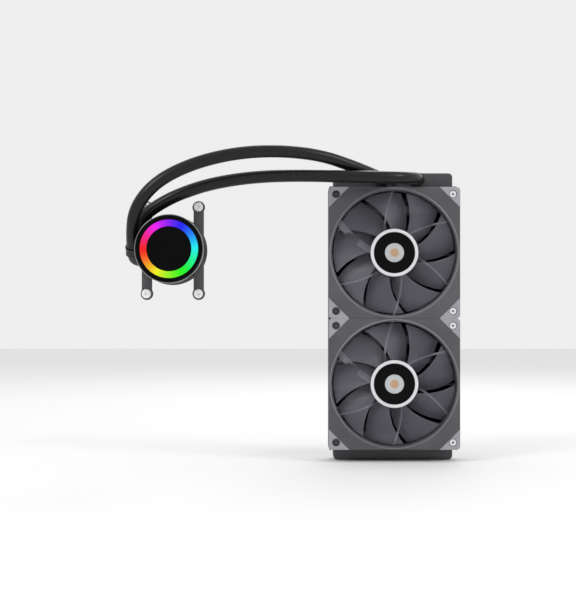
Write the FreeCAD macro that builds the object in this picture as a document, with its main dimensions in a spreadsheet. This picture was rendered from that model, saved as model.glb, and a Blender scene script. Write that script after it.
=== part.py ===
import FreeCAD, Part
import Sketcher
import math
import os
import re

Vector = FreeCAD.Vector

doc = FreeCAD.newDocument("LiquidCooler")
sheet = doc.addObject("Spreadsheet::Sheet", "Sizes")
finished = []
cell_count = 0


def cells(**values):
    """Write driving dimensions, in millimetres or degrees, to the sheet and name each cell."""
    global cell_count
    for alias, value in values.items():
        cell_count += 1
        sheet.set(f"A{cell_count}", alias)
        sheet.set(f"B{cell_count}", str(value))
        sheet.setAlias(f"B{cell_count}", alias)
    sheet.recompute()


def size(alias):
    """Read one dimension back from the sheet."""
    return float(sheet.get(alias))


def formula(text):
    """Point every alias in a short formula at the sheet."""
    return re.sub(r"[a-z][a-z_]*", lambda word: "Sizes." + word.group(0), text)


def bind(item, **formulas):
    for name, text in formulas.items():
        item.setExpression(name, formula(text))


# Frames of reference
# The radiator stands upright with its back face in the XZ plane, facing the case panel. Each
# assembly is drawn as seen from the front: x to the right, y up and z out towards the fans.
cells(pair_half=70.0, radiator_depth=27.0, pump_across=-233.5, pump_up=71.0, pump_seat=77.0)
FACING_OUT = FreeCAD.Rotation(Vector(1, 0, 0), 90)
RADIATOR = ("0", "0", "0")
UPPER_FAN = ("0", "-radiator_depth", "pair_half")
LOWER_FAN = ("0", "-radiator_depth", "-pair_half")
PUMP = ("pump_across", "-pump_seat", "pump_up")


def finish(item, label, assembly):
    """Name a sub-part, stand it in its assembly and keep it for writing out."""
    item.Label = label
    item.Placement = FreeCAD.Placement(Vector(0, 0, 0), FACING_OUT)
    for axis, text in zip("xyz", assembly):
        item.setExpression(f".Placement.Base.{axis}", formula(text))
    finished.append(item)
    return item


def box(corner, sides):
    """A block from its low corner and its three sides, each a formula."""
    block = doc.addObject("Part::Box", "Block")
    bind(block, Length=sides[0], Width=sides[1], Height=sides[2])
    for axis, text in zip("xyz", corner):
        block.setExpression(f".Placement.Base.{axis}", formula(text))
    return block


def rod(centre, radius, height, tilt=None):
    """A round bar from the centre of its low end; tilt turns it away from the z direction."""
    bar = doc.addObject("Part::Cylinder", "Bar")
    if tilt:
        bar.Placement = FreeCAD.Placement(Vector(0, 0, 0), tilt)
    bind(bar, Radius=radius, Height=height)
    for axis, text in zip("xyz", centre):
        bar.setExpression(f".Placement.Base.{axis}", formula(text))
    return bar


def joined(pieces):
    whole = doc.addObject("Part::MultiFuse", "Joined")
    whole.Shapes = pieces
    return whole


def cut(base, tools):
    left = doc.addObject("Part::Cut", "Cut")
    left.Base = base
    left.Tool = joined(tools) if len(tools) > 1 else tools[0]
    return left


def grouped(pieces):
    """Several like pieces kept as separate solids in one node."""
    whole = doc.addObject("Part::Compound", "Group")
    whole.Links = pieces
    return whole


def shaped(shape, name):
    item = doc.addObject("Part::Feature", name)
    item.Shape = shape
    return item


def copies(master, places):
    """A group of moved copies of one object's solid."""
    doc.recompute()
    return shaped(Part.makeCompound([master.Shape.transformed(place) for place in places]), "Copies")


def shift(x, y, z=0.0):
    matrix = FreeCAD.Matrix()
    matrix.move(Vector(x, y, z))
    return matrix


def spin(degrees):
    matrix = FreeCAD.Matrix()
    matrix.rotateZ(math.radians(degrees))
    return matrix


def round_edges(item, radius, chosen):
    """Round the edges of a block that the test picks out."""
    doc.recompute()
    rounded = doc.addObject("Part::Fillet", "Rounded")
    rounded.Base = item
    amount = size(radius)
    edges = enumerate(item.Shape.Edges, start=1)
    rounded.Edges = [(number, amount, amount) for number, edge in edges if chosen(edge)]
    return rounded


def outline(body, plane, corners):
    """Sketch a closed outline whose every corner is placed by two formulas."""
    sketch = body.newObject("Sketcher::SketchObject", "Outline")
    support = [part for part in body.Origin.OriginFeatures if part.Role == plane][0]
    sketch.AttachmentSupport = [(support, "")]
    sketch.MapMode = "FlatFace"
    count = len(corners)
    turn = 2 * math.pi / count
    rough = [Vector(20 + 9 * math.cos(turn * k), 20 + 9 * math.sin(turn * k), 0) for k in range(count)]
    for index in range(count):
        sketch.addGeometry(Part.LineSegment(rough[index], rough[(index + 1) % count]), False)
    for index in range(count):
        sketch.addConstraint(Sketcher.Constraint("Coincident", index, 2, (index + 1) % count, 1))
    for index, place in enumerate(corners):
        start = rough[index]
        for kind, text, value in zip(("DistanceX", "DistanceY"), place, (start.x, start.y)):
            number = sketch.addConstraint(Sketcher.Constraint(kind, -1, 1, index, 1, value))
            sketch.setExpression(f"Constraints[{number}]", formula(text))
    return sketch


def turned(corners):
    """A body turned about its own z axis from corners given as radius and height."""
    body = doc.addObject("PartDesign::Body", "Turned")
    sketch = outline(body, "XZ_Plane", corners)
    revolution = body.newObject("PartDesign::Revolution", "Revolution")
    revolution.Profile = sketch
    revolution.ReferenceAxis = (sketch, ["V_Axis"])
    revolution.Angle = 360
    sketch.Visibility = False
    return body


def ring(inner, outer, low, high):
    return turned([(inner, low), (outer, low), (outer, high), (inner, high)])


def extruded(plane, corners, length, middle=False):
    """A body padded from an outline, on one side of its plane or to both sides."""
    body = doc.addObject("PartDesign::Body", "Extruded")
    pad = body.newObject("PartDesign::Pad", "Pad")
    pad.Profile = outline(body, plane, corners)
    bind(pad, Length=length)
    pad.Midplane = middle
    return body


# Radiator tanks
# Each end tank is a pressed shell with rounded outer corners, open towards the core, where
# the header plate closes it. The top tank carries both hose barbs and the fill plug.
cells(core_half=140.0, header_thick=2.5, header_half=68.5, tank_half=64.5)
cells(top_reach=157.0, bottom_reach=153.0, tank_back=0.8, tank_depth=25.4)
cells(tank_wall=1.6, tank_round=4.5, tank_soft=2.2)
cells(inner_barb_across=26.0, outer_barb_across=-12.0, barb_up=148.5, barb_bore=3.2)
cells(barb_root=4.2, plug_across=1.5, plug_up=146.0, plug_radius=2.0, plug_head=2.6)


def tank(low, height, open_low):
    """One tank shell; open_low says that its open side is the lower one."""
    shell = box(("-tank_half", low, "tank_back"), ("tank_half * 2", height, "tank_depth"))
    outer_y = size("top_reach") if open_low else -size("bottom_reach")
    side_x = size("tank_half")

    def corner(edge):
        points = [vertex.Point for vertex in edge.Vertexes]
        return all(abs(abs(p.x) - side_x) < 0.01 and abs(p.y - outer_y) < 0.01 for p in points)

    shell = round_edges(shell, "tank_round", corner)

    def front(edge):
        low_z = size("tank_back") + size("tank_depth")
        points = [vertex.Point for vertex in edge.Vertexes]
        on_face = all(abs(p.z - low_z) < 0.01 for p in points)
        return on_face and edge.CenterOfMass.y * outer_y > (abs(outer_y) - 14) * abs(outer_y)

    shell = round_edges(shell, "tank_soft", front)
    cavity_low = low if open_low else low + " + tank_wall"
    corner_at = ("tank_wall - tank_half", cavity_low, "tank_back + tank_wall")
    sides = ("tank_half * 2 - tank_wall * 2", height + " - tank_wall", "tank_depth - tank_wall * 2")
    return cut(shell, [box(corner_at, sides)])


front_of_tank = "tank_back + tank_depth - tank_wall - 1"
top_shell = tank("core_half + header_thick", "top_reach - core_half - header_thick", True)
top_holes = [rod((across, "barb_up", front_of_tank), "barb_root", "tank_wall + 3")
             for across in ("inner_barb_across", "outer_barb_across")]
top_holes.append(rod(("plug_across", "plug_up", front_of_tank), "plug_radius", "tank_wall + 3"))
finish(cut(top_shell, top_holes), "top_tank", RADIATOR)
bottom_height = "bottom_reach - core_half - header_thick"
finish(tank("-bottom_reach", bottom_height, False), "bottom_tank", RADIATOR)

# Radiator core
# Flat tubes run the length of the core between the header plates, which they pass through.
# Folded fin strips fill the gaps between them and touch the tubes at every fold.
cells(tube_thick=2.0, tube_depth=20.0, tube_wall=0.3, fin_thick=0.3, fin_pitch=5.0, fin_flat=1.2)
cells(rail_half=69.5, rail_thick=1.2, rail_flange=13.0, header_edge=0.8)
TUBES = 13
core_middle = size("radiator_depth") / 2
field = 2 * (size("rail_half") - size("rail_thick"))
fin_gap = (field - TUBES * size("tube_thick")) / (TUBES + 1)
tube_pitch = fin_gap + size("tube_thick")
tube_places = [(column - (TUBES - 1) / 2) * tube_pitch for column in range(TUBES)]
fin_places = [(column - TUBES / 2) * tube_pitch for column in range(TUBES + 1)]


def slot_prism(thick, depth, low, length):
    """A flat tube's outline with round ends, drawn in x and z and raised along y."""
    half = thick / 2
    reach = depth / 2 - half
    here = Vector(0, low, core_middle)
    left_low = here + Vector(-half, 0, -reach)
    left_high = here + Vector(-half, 0, reach)
    right_high = here + Vector(half, 0, reach)
    right_low = here + Vector(half, 0, -reach)
    edges = [
        Part.LineSegment(left_low, left_high).toShape(),
        Part.Arc(left_high, here + Vector(0, 0, reach + half), right_high).toShape(),
        Part.LineSegment(right_high, right_low).toShape(),
        Part.Arc(right_low, here + Vector(0, 0, -reach - half), left_low).toShape(),
    ]
    return Part.Face(Part.Wire(edges)).extrude(Vector(0, length, 0))


tube_reach = size("core_half") + size("header_thick")
wall = size("tube_wall")
tube_outer = slot_prism(size("tube_thick"), size("tube_depth"), -tube_reach, 2 * tube_reach)
tube_inner = slot_prism(size("tube_thick") - 2 * wall, size("tube_depth") - 2 * wall,
                        -tube_reach, 2 * tube_reach)
tube = tube_outer.cut(tube_inner)
tubes = Part.makeCompound([tube.translated(Vector(x, 0, 0)) for x in tube_places])
finish(shaped(tubes, "Tubes"), "coolant_tubes", RADIATOR)

header_slots = Part.makeCompound([tube_outer.translated(Vector(x, 0, 0)) for x in tube_places])
plates = []
for low in ("core_half", "-core_half - header_thick"):
    plate = box(("-header_half", low, "header_edge"),
                ("header_half * 2", "header_thick", "radiator_depth - header_edge * 2"))
    plates.append(cut(plate, [shaped(header_slots, "Slots")]))
finish(grouped(plates), "header_plates", RADIATOR)


def fin_strip(gap, length):
    """One folded strip: flats along the tubes joined by slopes, with an even wall."""
    thick = size("fin_thick")
    flat = size("fin_flat")
    rise = size("fin_pitch") / 2 - flat
    middle = (gap - thick) / 2
    turn = math.atan2(2 * middle, rise)
    miter = thick / 2 * math.tan(turn / 2)
    folds = int(length / (flat + rise))
    start = -folds * (flat + rise) / 2
    outer = []
    inner = []
    for fold in range(folds):
        side = 1 if fold % 2 == 0 else -1
        low = start + fold * (flat + rise)
        high = low + flat
        wide = (middle + thick / 2) * side
        narrow = (middle - thick / 2) * side
        far = [(wide, low - miter), (wide, high + miter)]
        near = [(narrow, low + miter), (narrow, high - miter)]
        outer += far if side > 0 else near
        inner += near if side > 0 else far
    points = [Vector(x, y, 0) for x, y in outer + inner[::-1]]
    face = Part.Face(Part.makePolygon(points + points[:1]))
    depth = size("tube_depth") - 0.4
    return face.extrude(Vector(0, 0, depth)).translated(Vector(0, 0, core_middle - depth / 2))


strip = fin_strip(fin_gap, 2 * size("core_half") - 2)
strips = Part.makeCompound([strip.translated(Vector(x, 0, 0)) for x in fin_places])
finish(shaped(strips, "Strips"), "cooling_fins", RADIATOR)

# Side rails
# A folded channel closes each long edge of the core. Its front flange takes the fan screws
# and its back flange the case screws, each in a pressed and threaded collar.
cells(screw_across=62.25, screw_reach=62.25, thread_radius=1.5, collar_radius=3.2, collar_deep=1.8)
channel = [
    ("rail_half", "0"), ("rail_half", "radiator_depth"),
    ("rail_half - rail_flange", "radiator_depth"),
    ("rail_half - rail_flange", "radiator_depth - rail_thick"),
    ("rail_half - rail_thick", "radiator_depth - rail_thick"),
    ("rail_half - rail_thick", "rail_thick"),
    ("rail_half - rail_flange", "rail_thick"), ("rail_half - rail_flange", "0"),
]
screw_rows = ("pair_half + screw_reach", "pair_half - screw_reach",
              "screw_reach - pair_half", "-pair_half - screw_reach")
rails = []
for side in ("", "-"):
    corners = [(f"({x}) * {side}1", z) for x, z in channel]
    pieces = [extruded("XZ_Plane", corners, "core_half * 2", middle=True)]
    across = side + "screw_across"
    for row in screw_rows:
        pieces.append(rod((across, row, "rail_thick"), "collar_radius", "collar_deep"))
        front = "radiator_depth - rail_thick - collar_deep"
        pieces.append(rod((across, row, front), "collar_radius", "collar_deep"))
    threads = [rod((across, row, "-1"), "thread_radius", "radiator_depth + 2") for row in screw_rows]
    rails.append(cut(joined(pieces), threads))
finish(grouped(rails), "side_rails", RADIATOR)

# Hose barbs and fill plug
# Two soldered barbs stand out of the top tank's front face, and a slotted plug between them
# closes the filling hole. A crimped ferrule holds each hose on its barb.
cells(barb_seat=7.4, barb_shoulder=28.2, barb_ridge=4.6, barb_tip=41.0, tank_face=26.2)
cells(hose_radius=6.5, hose_bore=4.6, ferrule_wall=0.9, ferrule_gap=0.4, ferrule_length=9.0)


def barb_profile(inside, shoulder, tip):
    """Half section of a barb: a root in the wall, a seat, then three ridges."""
    step = f"({tip} - {shoulder}) / 3"
    corners = [("barb_bore", inside), ("barb_root", inside), ("barb_root", "tank_face"),
               ("barb_seat", "tank_face"), ("barb_seat", shoulder)]
    for ridge in range(3):
        corners.append(("barb_ridge", f"{shoulder} + {step} * {ridge}"))
        corners.append(("barb_ridge", f"{shoulder} + {step} * {ridge + 0.6}"))
        corners.append(("barb_root", f"{shoulder} + {step} * {ridge + 1}"))
    corners.append(("barb_bore", tip))
    return corners


def ferrule(label_length="ferrule_length"):
    """A crimped sleeve with a rolled lip at each end, standing at height nought."""
    out = "hose_radius + ferrule_wall"
    return turned([("hose_radius", "0"), (out + " + 0.3", "0"), (out + " + 0.3", "0.8"), (out, "1.4"),
                   (out, label_length + " - 1.4"), (out + " + 0.3", label_length + " - 0.8"),
                   (out + " + 0.3", label_length), ("hose_radius", label_length)])


barb = turned(barb_profile("tank_face - tank_wall", "barb_shoulder", "barb_tip"))
sleeve = ferrule()
barb_columns = [size("inner_barb_across"), size("outer_barb_across")]
barb_places = [shift(x, size("barb_up")) for x in barb_columns]
finish(copies(barb, barb_places), "hose_barbs", RADIATOR)
sleeve_up = size("barb_shoulder") + size("ferrule_gap")
sleeve_places = [shift(x, size("barb_up"), sleeve_up) for x in barb_columns]

plug = turned([("0", "tank_face - 4"), ("plug_radius", "tank_face - 4"), ("plug_radius", "tank_face"),
               ("plug_head", "tank_face"), ("plug_head", "tank_face + 0.9"),
               ("plug_head - 0.5", "tank_face + 1.3"), ("0", "tank_face + 1.3")])
plug_slot = box(("-plug_head", "-0.35", "tank_face + 0.6"), ("plug_head * 2", "0.7", "2"))
finish(copies(cut(plug, [plug_slot]), [shift(size("plug_across"), size("plug_up"))]),
       "fill_plug", RADIATOR)

# Fans
# Two equal square fans stand on the radiator's front. Each frame is two square flanges on a
# round duct, and six curved struts at its back, one wide for the lead, hold the motor mount.
cells(fan_side=140.0, fan_depth=25.0, fan_skin=0.5, fan_round=4.0, flange_thick=4.2)
cells(duct_radius=66.5, duct_outer=69.0, lip_outer=69.2, fan_hole=2.2, head_room=4.2)
cells(pad_leg=22.0, pad_deep=1.2, mount_radius=25.0, mount_thick=3.0, tower_outer=5.0)
cells(tower_inner=3.5, tower_high=17.0, strut_wide=2.2, lead_strut_wide=7.0, strut_deep=4.5)
cells(strut_twist=24.0, strut_bow=2.4, clip_out=47.0, clip_long=14.0, clip_wide=8.0, clip_deep=1.4)
half_fan = size("fan_side") / 2
FAN_FACE = ("0", "-radiator_depth", "0")
fan_pair = [shift(0, size("pair_half")), shift(0, -size("pair_half"))]


def fan_plate(low, thick):
    return box(("-fan_side / 2", "-fan_side / 2", low), ("fan_side", "fan_side", thick))


def upright(edge):
    """True for a straight edge that runs along z."""
    ends = [vertex.Point for vertex in edge.Vertexes]
    return len(ends) == 2 and abs(ends[0].z - ends[1].z) > 1 and abs(ends[0].x - ends[1].x) < 0.01


def polar(radius, degrees, z=0.0):
    angle = math.radians(degrees)
    return Vector(radius * math.cos(angle), radius * math.sin(angle), z)


def strut(outer_angle, width):
    """One curved strut from the motor mount to the duct, as a bent band."""
    inner = polar(size("mount_radius") - 2, outer_angle + size("strut_twist"))
    outer = polar(size("duct_outer") - 1, outer_angle)
    along = (outer - inner).normalize()
    across = Vector(0, 0, 1).cross(along)
    middle = (inner + outer) / 2 + across * size("strut_bow")
    centre = Part.Arc(inner, middle, outer).toShape().Curve.Center

    def grown(point, amount):
        return centre + (point - centre) * (1 + amount / (point - centre).Length)

    near = [grown(point, -width / 2) for point in (inner, middle, outer)]
    far = [grown(point, width / 2) for point in (inner, middle, outer)]
    edges = [Part.Arc(*near).toShape(), Part.LineSegment(near[2], far[2]).toShape(),
             Part.Arc(far[2], far[1], far[0]).toShape(), Part.LineSegment(far[0], near[0]).toShape()]
    band = Part.Face(Part.Wire(edges)).extrude(Vector(0, 0, size("strut_deep")))
    return band.translated(Vector(0, 0, size("fan_skin")))


STRUTS = 6
STRUT_START = 30.0
LEAD_STRUT = 2


def struts():
    """One fan's struts, each from the mount's rim to the wall of the duct."""
    room = Part.makeCylinder(size("duct_radius"), size("fan_depth"))
    room = room.cut(Part.makeCylinder(size("mount_radius"), size("fan_depth")))
    bands = []
    for index in range(STRUTS):
        wide = "lead_strut_wide" if index == LEAD_STRUT else "strut_wide"
        bands.append(strut(STRUT_START + index * 360 / STRUTS, size(wide)).common(room))
    return bands


def pad_outline(grow=0.0):
    """A corner pad as seen from the front: two legs, a straight long side, a round corner."""
    leg = size("pad_leg") + grow
    radius = size("fan_round")
    far = half_fan
    bend = radius * (1 - math.sqrt(0.5))
    edges = [
        Part.LineSegment(Vector(far - radius, far, 0), Vector(far - leg, far, 0)).toShape(),
        Part.LineSegment(Vector(far - leg, far, 0), Vector(far, far - leg, 0)).toShape(),
        Part.LineSegment(Vector(far, far - leg, 0), Vector(far, far - radius, 0)).toShape(),
        Part.Arc(Vector(far, far - radius, 0), Vector(far - bend, far - bend, 0),
                 Vector(far - radius, far, 0)).toShape(),
    ]
    return Part.Face(Part.Wire(edges))


def pads(front_holes):
    """Eight corner pads, four in front and four behind, or the recesses that hold them."""
    skin = size("fan_skin")
    deep = size("pad_deep")
    thick = skin + deep if front_holes else deep + 2
    solids = []
    for quarter in range(4):
        face = pad_outline()
        for low, hole in ((size("fan_depth") - skin - deep, "head_room"), (skin + deep - thick, "fan_hole")):
            pad = face.extrude(Vector(0, 0, thick)).translated(Vector(0, 0, low))
            if front_holes:
                centre = Vector(size("screw_reach"), size("screw_reach"), low - 1)
                pad = pad.cut(Part.makeCylinder(size(hole), thick + 2, centre))
            solids.append(pad.transformed(spin(90 * quarter)))
    return solids


def fan_frame():
    """Two square flanges joined by the round duct, with a lip round its mouth."""
    skin = "fan_skin"
    body_deep = "fan_depth - fan_skin * 2"
    block = round_edges(fan_plate(skin, body_deep), "fan_round", upright)
    waist = cut(fan_plate("fan_skin + flange_thick", body_deep + " - flange_thick * 2"),
                [rod(("0", "0", "-1"), "duct_outer", "fan_depth + 2")])
    duct = rod(("0", "0", "-1"), "duct_radius", "fan_depth + 2")
    holes = [rod((f"screw_reach * {x}", f"screw_reach * {y}", "-1"), "fan_hole", "fan_depth + 2")
             for x in (1, -1) for y in (1, -1)]
    recesses = [shaped(shape, "Recess") for shape in pads(False)]
    square = cut(block, [waist, duct] + holes + recesses)
    lip = ring("duct_radius", "lip_outer", "fan_depth - flange_thick", "fan_depth")
    return joined([square, lip])


def motor_mounts():
    """Both fans' mounts, each a round plate with a bearing tower and six struts round it."""
    skin = "fan_skin"
    tower = turned([("0", skin), ("mount_radius", skin), ("mount_radius", "fan_skin + mount_thick"),
                    ("tower_outer", "fan_skin + mount_thick"), ("tower_outer", "tower_high"),
                    ("tower_inner", "tower_high"), ("tower_inner", "fan_skin + 0.7"),
                    ("0", "fan_skin + 0.7")])
    doc.recompute()
    pieces = [tower.Shape] + struts()
    return Part.makeCompound([piece.transformed(place) for place in fan_pair for piece in pieces])


# Rotor
# Nine wide swept blades stand on a cup-shaped hub that closes over the motor. The cup holds
# a ring magnet and a steel shaft, and wears a white ring, a black disc and a metal medallion.
cells(hub_radius=25.5, hub_inner=23.7, hub_low=5.5, hub_step=22.4, hub_step_radius=21.9)
cells(hub_front=23.4, hub_roof=20.8, boss_radius=4.0, boss_low=18.0, shaft_radius=1.5)
cells(shaft_low=1.4, shaft_play=0.03, magnet_inner=21.5, magnet_low=7.0, magnet_high=19.0)
cells(disc_front=24.2, trim_front=24.7, medallion_radius=10.2, medallion_front=24.8)
cells(blade_tip=65.0, blade_thick=1.5, blade_sweep=23.0, blade_half_angle=18.2, blade_camber=2.2)
cells(blade_mid=14.0, blade_rise_root=7.2, blade_rise_tip=5.2)
BLADES = 9
BLADE_STATIONS = 5


def blade():
    """One blade: cambered sections on planes square to the radius, trimmed to the tip circle."""
    inner = size("hub_inner") + 0.6
    outer = size("blade_tip") + 6
    thick = size("blade_thick")
    wires = []
    for station in range(BLADE_STATIONS):
        share = station / (BLADE_STATIONS - 1)
        radius = inner + (outer - inner) * share
        sweep = size("blade_sweep") * (radius - inner) / (size("blade_tip") - inner)
        rise = size("blade_rise_root") + (size("blade_rise_tip") - size("blade_rise_root")) * share
        half = radius * math.tan(math.radians(size("blade_half_angle")))
        middle = polar(radius, sweep)
        along = polar(1, sweep + 90)
        camber = size("blade_camber") * (0.5 + share / 2)

        def at(part, offset):
            lift = part * rise + camber * (1 - part * part) + offset
            return middle + along * (half * part) + Vector(0, 0, size("blade_mid") + lift)

        low = [at(part, -thick / 2) for part in (-1, 0, 1)]
        high = [at(part, thick / 2) for part in (1, 0, -1)]
        edges = [Part.Arc(*low).toShape(), Part.LineSegment(low[2], high[0]).toShape(),
                 Part.Arc(*high).toShape(), Part.LineSegment(high[2], low[0]).toShape()]
        wires.append(Part.Wire(edges))
    solid = Part.makeLoft(wires, True, True)
    tip = Part.makeCylinder(size("blade_tip"), size("fan_depth"))
    return solid.common(tip)


def hub_cup():
    return turned([("hub_inner", "hub_low"), ("hub_radius", "hub_low"), ("hub_radius", "hub_step"),
                   ("hub_step_radius", "hub_step"), ("hub_step_radius", "hub_front"), ("0", "hub_front"),
                   ("0", "hub_step"), ("shaft_radius", "hub_step"), ("shaft_radius", "boss_low"),
                   ("boss_radius", "boss_low"), ("boss_radius", "hub_roof"), ("hub_inner", "hub_roof")])


def blades():
    """Nine blades that stand on the hub's wall."""
    one = blade().cut(Part.makeCylinder(size("hub_radius"), size("fan_depth")))
    return Part.makeCompound([one.transformed(spin(index * 360 / BLADES)) for index in range(BLADES)])


for side, assembly in (("upper", UPPER_FAN), ("lower", LOWER_FAN)):
    finish(fan_frame(), side + "_fan_frame", assembly)
    finish(hub_cup(), side + "_fan_rotor", assembly)
    finish(shaped(blades(), "Blades"), side + "_fan_blades", assembly)
    finish(turned([("hub_step_radius", "hub_step"), ("hub_radius", "hub_step"),
                   ("hub_radius", "trim_front - 0.7"), ("hub_radius - 0.7", "trim_front"),
                   ("hub_step_radius + 0.7", "trim_front"), ("hub_step_radius", "trim_front - 0.7")]),
           side + "_fan_hub_ring", assembly)
    finish(ring("0", "hub_step_radius", "hub_front", "disc_front"), side + "_fan_hub_disc", assembly)
    finish(turned([("0", "disc_front"), ("medallion_radius", "disc_front"),
                   ("medallion_radius", "medallion_front - 0.2"),
                   ("medallion_radius - 0.4", "medallion_front"), ("3.2", "medallion_front"),
                   ("3", "medallion_front - 0.2"), ("0", "medallion_front - 0.2")]),
           side + "_fan_medallion", assembly)
    finish(ring("magnet_inner", "hub_inner", "magnet_low", "magnet_high"),
           side + "_fan_magnet", assembly)
    finish(ring("0", "shaft_radius", "shaft_low", "hub_step"), side + "_fan_shaft", assembly)

# Fan motors and pads
# The motor mount, bearing sleeve, four-pole wound core, circuit board, the clip that holds
# the lead on its wide strut and the rubber corner pads are the same in both fans.
cells(sleeve_low=2.0, sleeve_high=16.5, core_low=8.0, core_high=15.0, core_reach=20.8)
cells(board_low=3.9, board_high=5.1, board_reach=20.0, pole_wide=7.0, pole_head=3.0)
POLES = 4


def wound_core():
    """A ring with wound arms that widen into curved pole heads, as seen from the front."""
    low = size("core_low")
    high = size("core_high") - low
    reach = size("core_reach")
    start = Vector(0, 0, low)
    whole = Part.makeCylinder(size("tower_outer") + 4, high, start)
    head = Part.makeCylinder(reach, high, start)
    head = head.cut(Part.makeCylinder(reach - size("pole_head"), high, start))
    gap = Part.makeBox(2 * reach, 3.2, high, Vector(0, -1.6, low))
    for pole in range(POLES):
        arm = Part.makeBox(reach - 2, size("pole_wide"), high, Vector(0, -size("pole_wide") / 2, low))
        whole = whole.fuse(arm.transformed(spin(360 / POLES * pole + 45)))
        head = head.cut(gap.transformed(spin(360 / POLES * pole)))
    whole = whole.fuse(head)
    return whole.cut(Part.makeCylinder(size("tower_outer"), high, start))


pad_pair = [pad.transformed(place) for place in fan_pair for pad in pads(True)]
finish(shaped(Part.makeCompound(pad_pair), "Pads"), "fan_corner_pads", FAN_FACE)
finish(shaped(motor_mounts(), "Mounts"), "fan_motor_mounts", FAN_FACE)
bush = ring("shaft_radius + shaft_play", "tower_inner", "sleeve_low", "sleeve_high")
finish(copies(bush, fan_pair), "fan_bearing_sleeves", FAN_FACE)
finish(copies(shaped(wound_core(), "Core"), fan_pair), "fan_motor_cores", FAN_FACE)
board = ring("tower_outer + 0.2", "board_reach", "board_low", "board_high")
finish(copies(board, fan_pair), "fan_circuit_boards", FAN_FACE)

clip_angle = STRUT_START + LEAD_STRUT * 360 / STRUTS
clip_share = (size("duct_outer") - size("clip_out")) / (size("duct_outer") - size("mount_radius"))
clip_centre = polar(size("clip_out"), clip_angle + size("strut_twist") * clip_share * 0.9)
clip_low = size("fan_skin") + size("strut_deep")
clip_box = Part.makeBox(size("clip_long"), size("clip_wide"), size("clip_deep"),
                        Vector(-size("clip_long") / 2, -size("clip_wide") / 2, clip_low))
clip_turn = clip_angle + size("strut_twist") - 20
clip = clip_box.transformed(spin(clip_turn)).translated(clip_centre)
finish(copies(shaped(clip, "Clip"), fan_pair), "fan_lead_clips", FAN_FACE)

# Fan screws
# Eight long screws pass through the fans' corners into the radiator's front threads. The
# four on the right are bright and the four on the left are black.
cells(fan_screw_radius=1.45, fan_head_radius=3.7, fan_head_high=1.6, socket_radius=1.3)
screw = turned([("0", "-3"), ("fan_screw_radius - 0.4", "-3"), ("fan_screw_radius", "-2.5"),
                ("fan_screw_radius", "fan_depth - fan_skin - pad_deep"),
                ("fan_head_radius", "fan_depth - fan_skin - pad_deep"),
                ("fan_head_radius", "fan_depth - fan_skin - pad_deep + fan_head_high - 0.5"),
                ("fan_head_radius - 0.6", "fan_depth - fan_skin - pad_deep + fan_head_high"),
                ("socket_radius", "fan_depth - fan_skin - pad_deep + fan_head_high"),
                ("socket_radius", "fan_depth - fan_skin - pad_deep + 0.4"),
                ("0", "fan_depth - fan_skin - pad_deep + 0.4")])
screw_heights = [f * size("pair_half") + g * size("screw_reach") for f in (1, -1) for g in (1, -1)]
for label, side in (("bright_fan_screws", 1), ("dark_fan_screws", -1)):
    places = [shift(side * size("screw_across"), height) for height in screw_heights]
    finish(copies(screw, places), label, FAN_FACE)

# Cold plate
# A copper disc rests on the processor. Fine fins on its inner face stand in the coolant, and
# eight countersunk screws and a rubber seal close it to the pump's base.
cells(plate_radius=27.0, plate_thick=3.2, micro_half=13.0, micro_high=2.4, micro_thick=0.4)
cells(plate_screw_ring=23.5, plate_screw_radius=1.1, plate_screw_head=2.1, plate_screw_long=8.0)
cells(seal_inner=19.0, seal_outer=20.6, seal_high=1.0)
PLATE_SCREWS = 8
MICRO_FINS = 24
plate_screw = turned([("0", "0.1"), ("plate_screw_head", "0.1"), ("plate_screw_radius", "1.3"),
                      ("plate_screw_radius", "plate_screw_long"), ("0", "plate_screw_long")])
plate_ring = size("plate_screw_ring")
plate_places = []
for index in range(PLATE_SCREWS):
    place = polar(plate_ring, 360 / PLATE_SCREWS * (index + 0.5))
    plate_places.append(shift(place.x, place.y))
plate_screws = copies(plate_screw, plate_places)
plate_disc = ring("0", "plate_radius", "0", "plate_thick")
micro_pitch = 2 * size("micro_half") / (MICRO_FINS - 1)
micro_fin = Part.makeBox(2 * size("micro_half"), size("micro_thick"), size("micro_high") + 0.2,
                         Vector(-size("micro_half"), -size("micro_thick") / 2,
                                size("plate_thick") - 0.2))
micro_fins = [micro_fin.translated(Vector(0, (index - (MICRO_FINS - 1) / 2) * micro_pitch, 0))
              for index in range(MICRO_FINS)]
screw_space = turned([("0", "-1"), ("plate_screw_head + 0.02", "-1"), ("plate_screw_head + 0.02", "0.1"),
                      ("plate_screw_radius + 0.02", "1.32"), ("plate_screw_radius + 0.02", "9"),
                      ("0", "9")])
plate_holes = copies(screw_space, plate_places)
plate_body = joined([plate_disc, shaped(Part.makeCompound(micro_fins), "MicroFins")])
finish(cut(plate_body, [plate_holes]), "cold_plate", PUMP)
finish(plate_screws, "cold_plate_screws", PUMP)

# Pump base
# The moulded base holds the chamber over the cold plate's fins and, above it, the round
# chamber of the impeller. Both hose ports open in a flat on its left side.
cells(base_radius=33.0, base_low=3.2, base_high=32.0, flat_at=24.0, port_high=23.0, port_apart=11.0)
cells(port_radius=4.0, plate_chamber=16.0, chamber_roof=9.0, impeller_chamber=15.0)
cells(chamber_floor=13.5, feed_radius=2.5)
ALONG_X = FreeCAD.Rotation(Vector(0, 1, 0), 90)
base = turned([("0", "base_low"), ("plate_radius + 1", "base_low"), ("base_radius", "base_low + 4"),
               ("base_radius", "base_high"), ("impeller_chamber", "base_high"),
               ("impeller_chamber", "chamber_floor"), ("0", "chamber_floor")])
under_chamber = rod(("0", "0", "base_low - 1"), "plate_chamber", "chamber_roof - base_low + 1")
fin_room = box(("-micro_half - 1", "-micro_half - 1", "base_low - 1"),
               ("micro_half * 2 + 2", "micro_half * 2 + 2", "chamber_roof - base_low + 1"))
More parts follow.
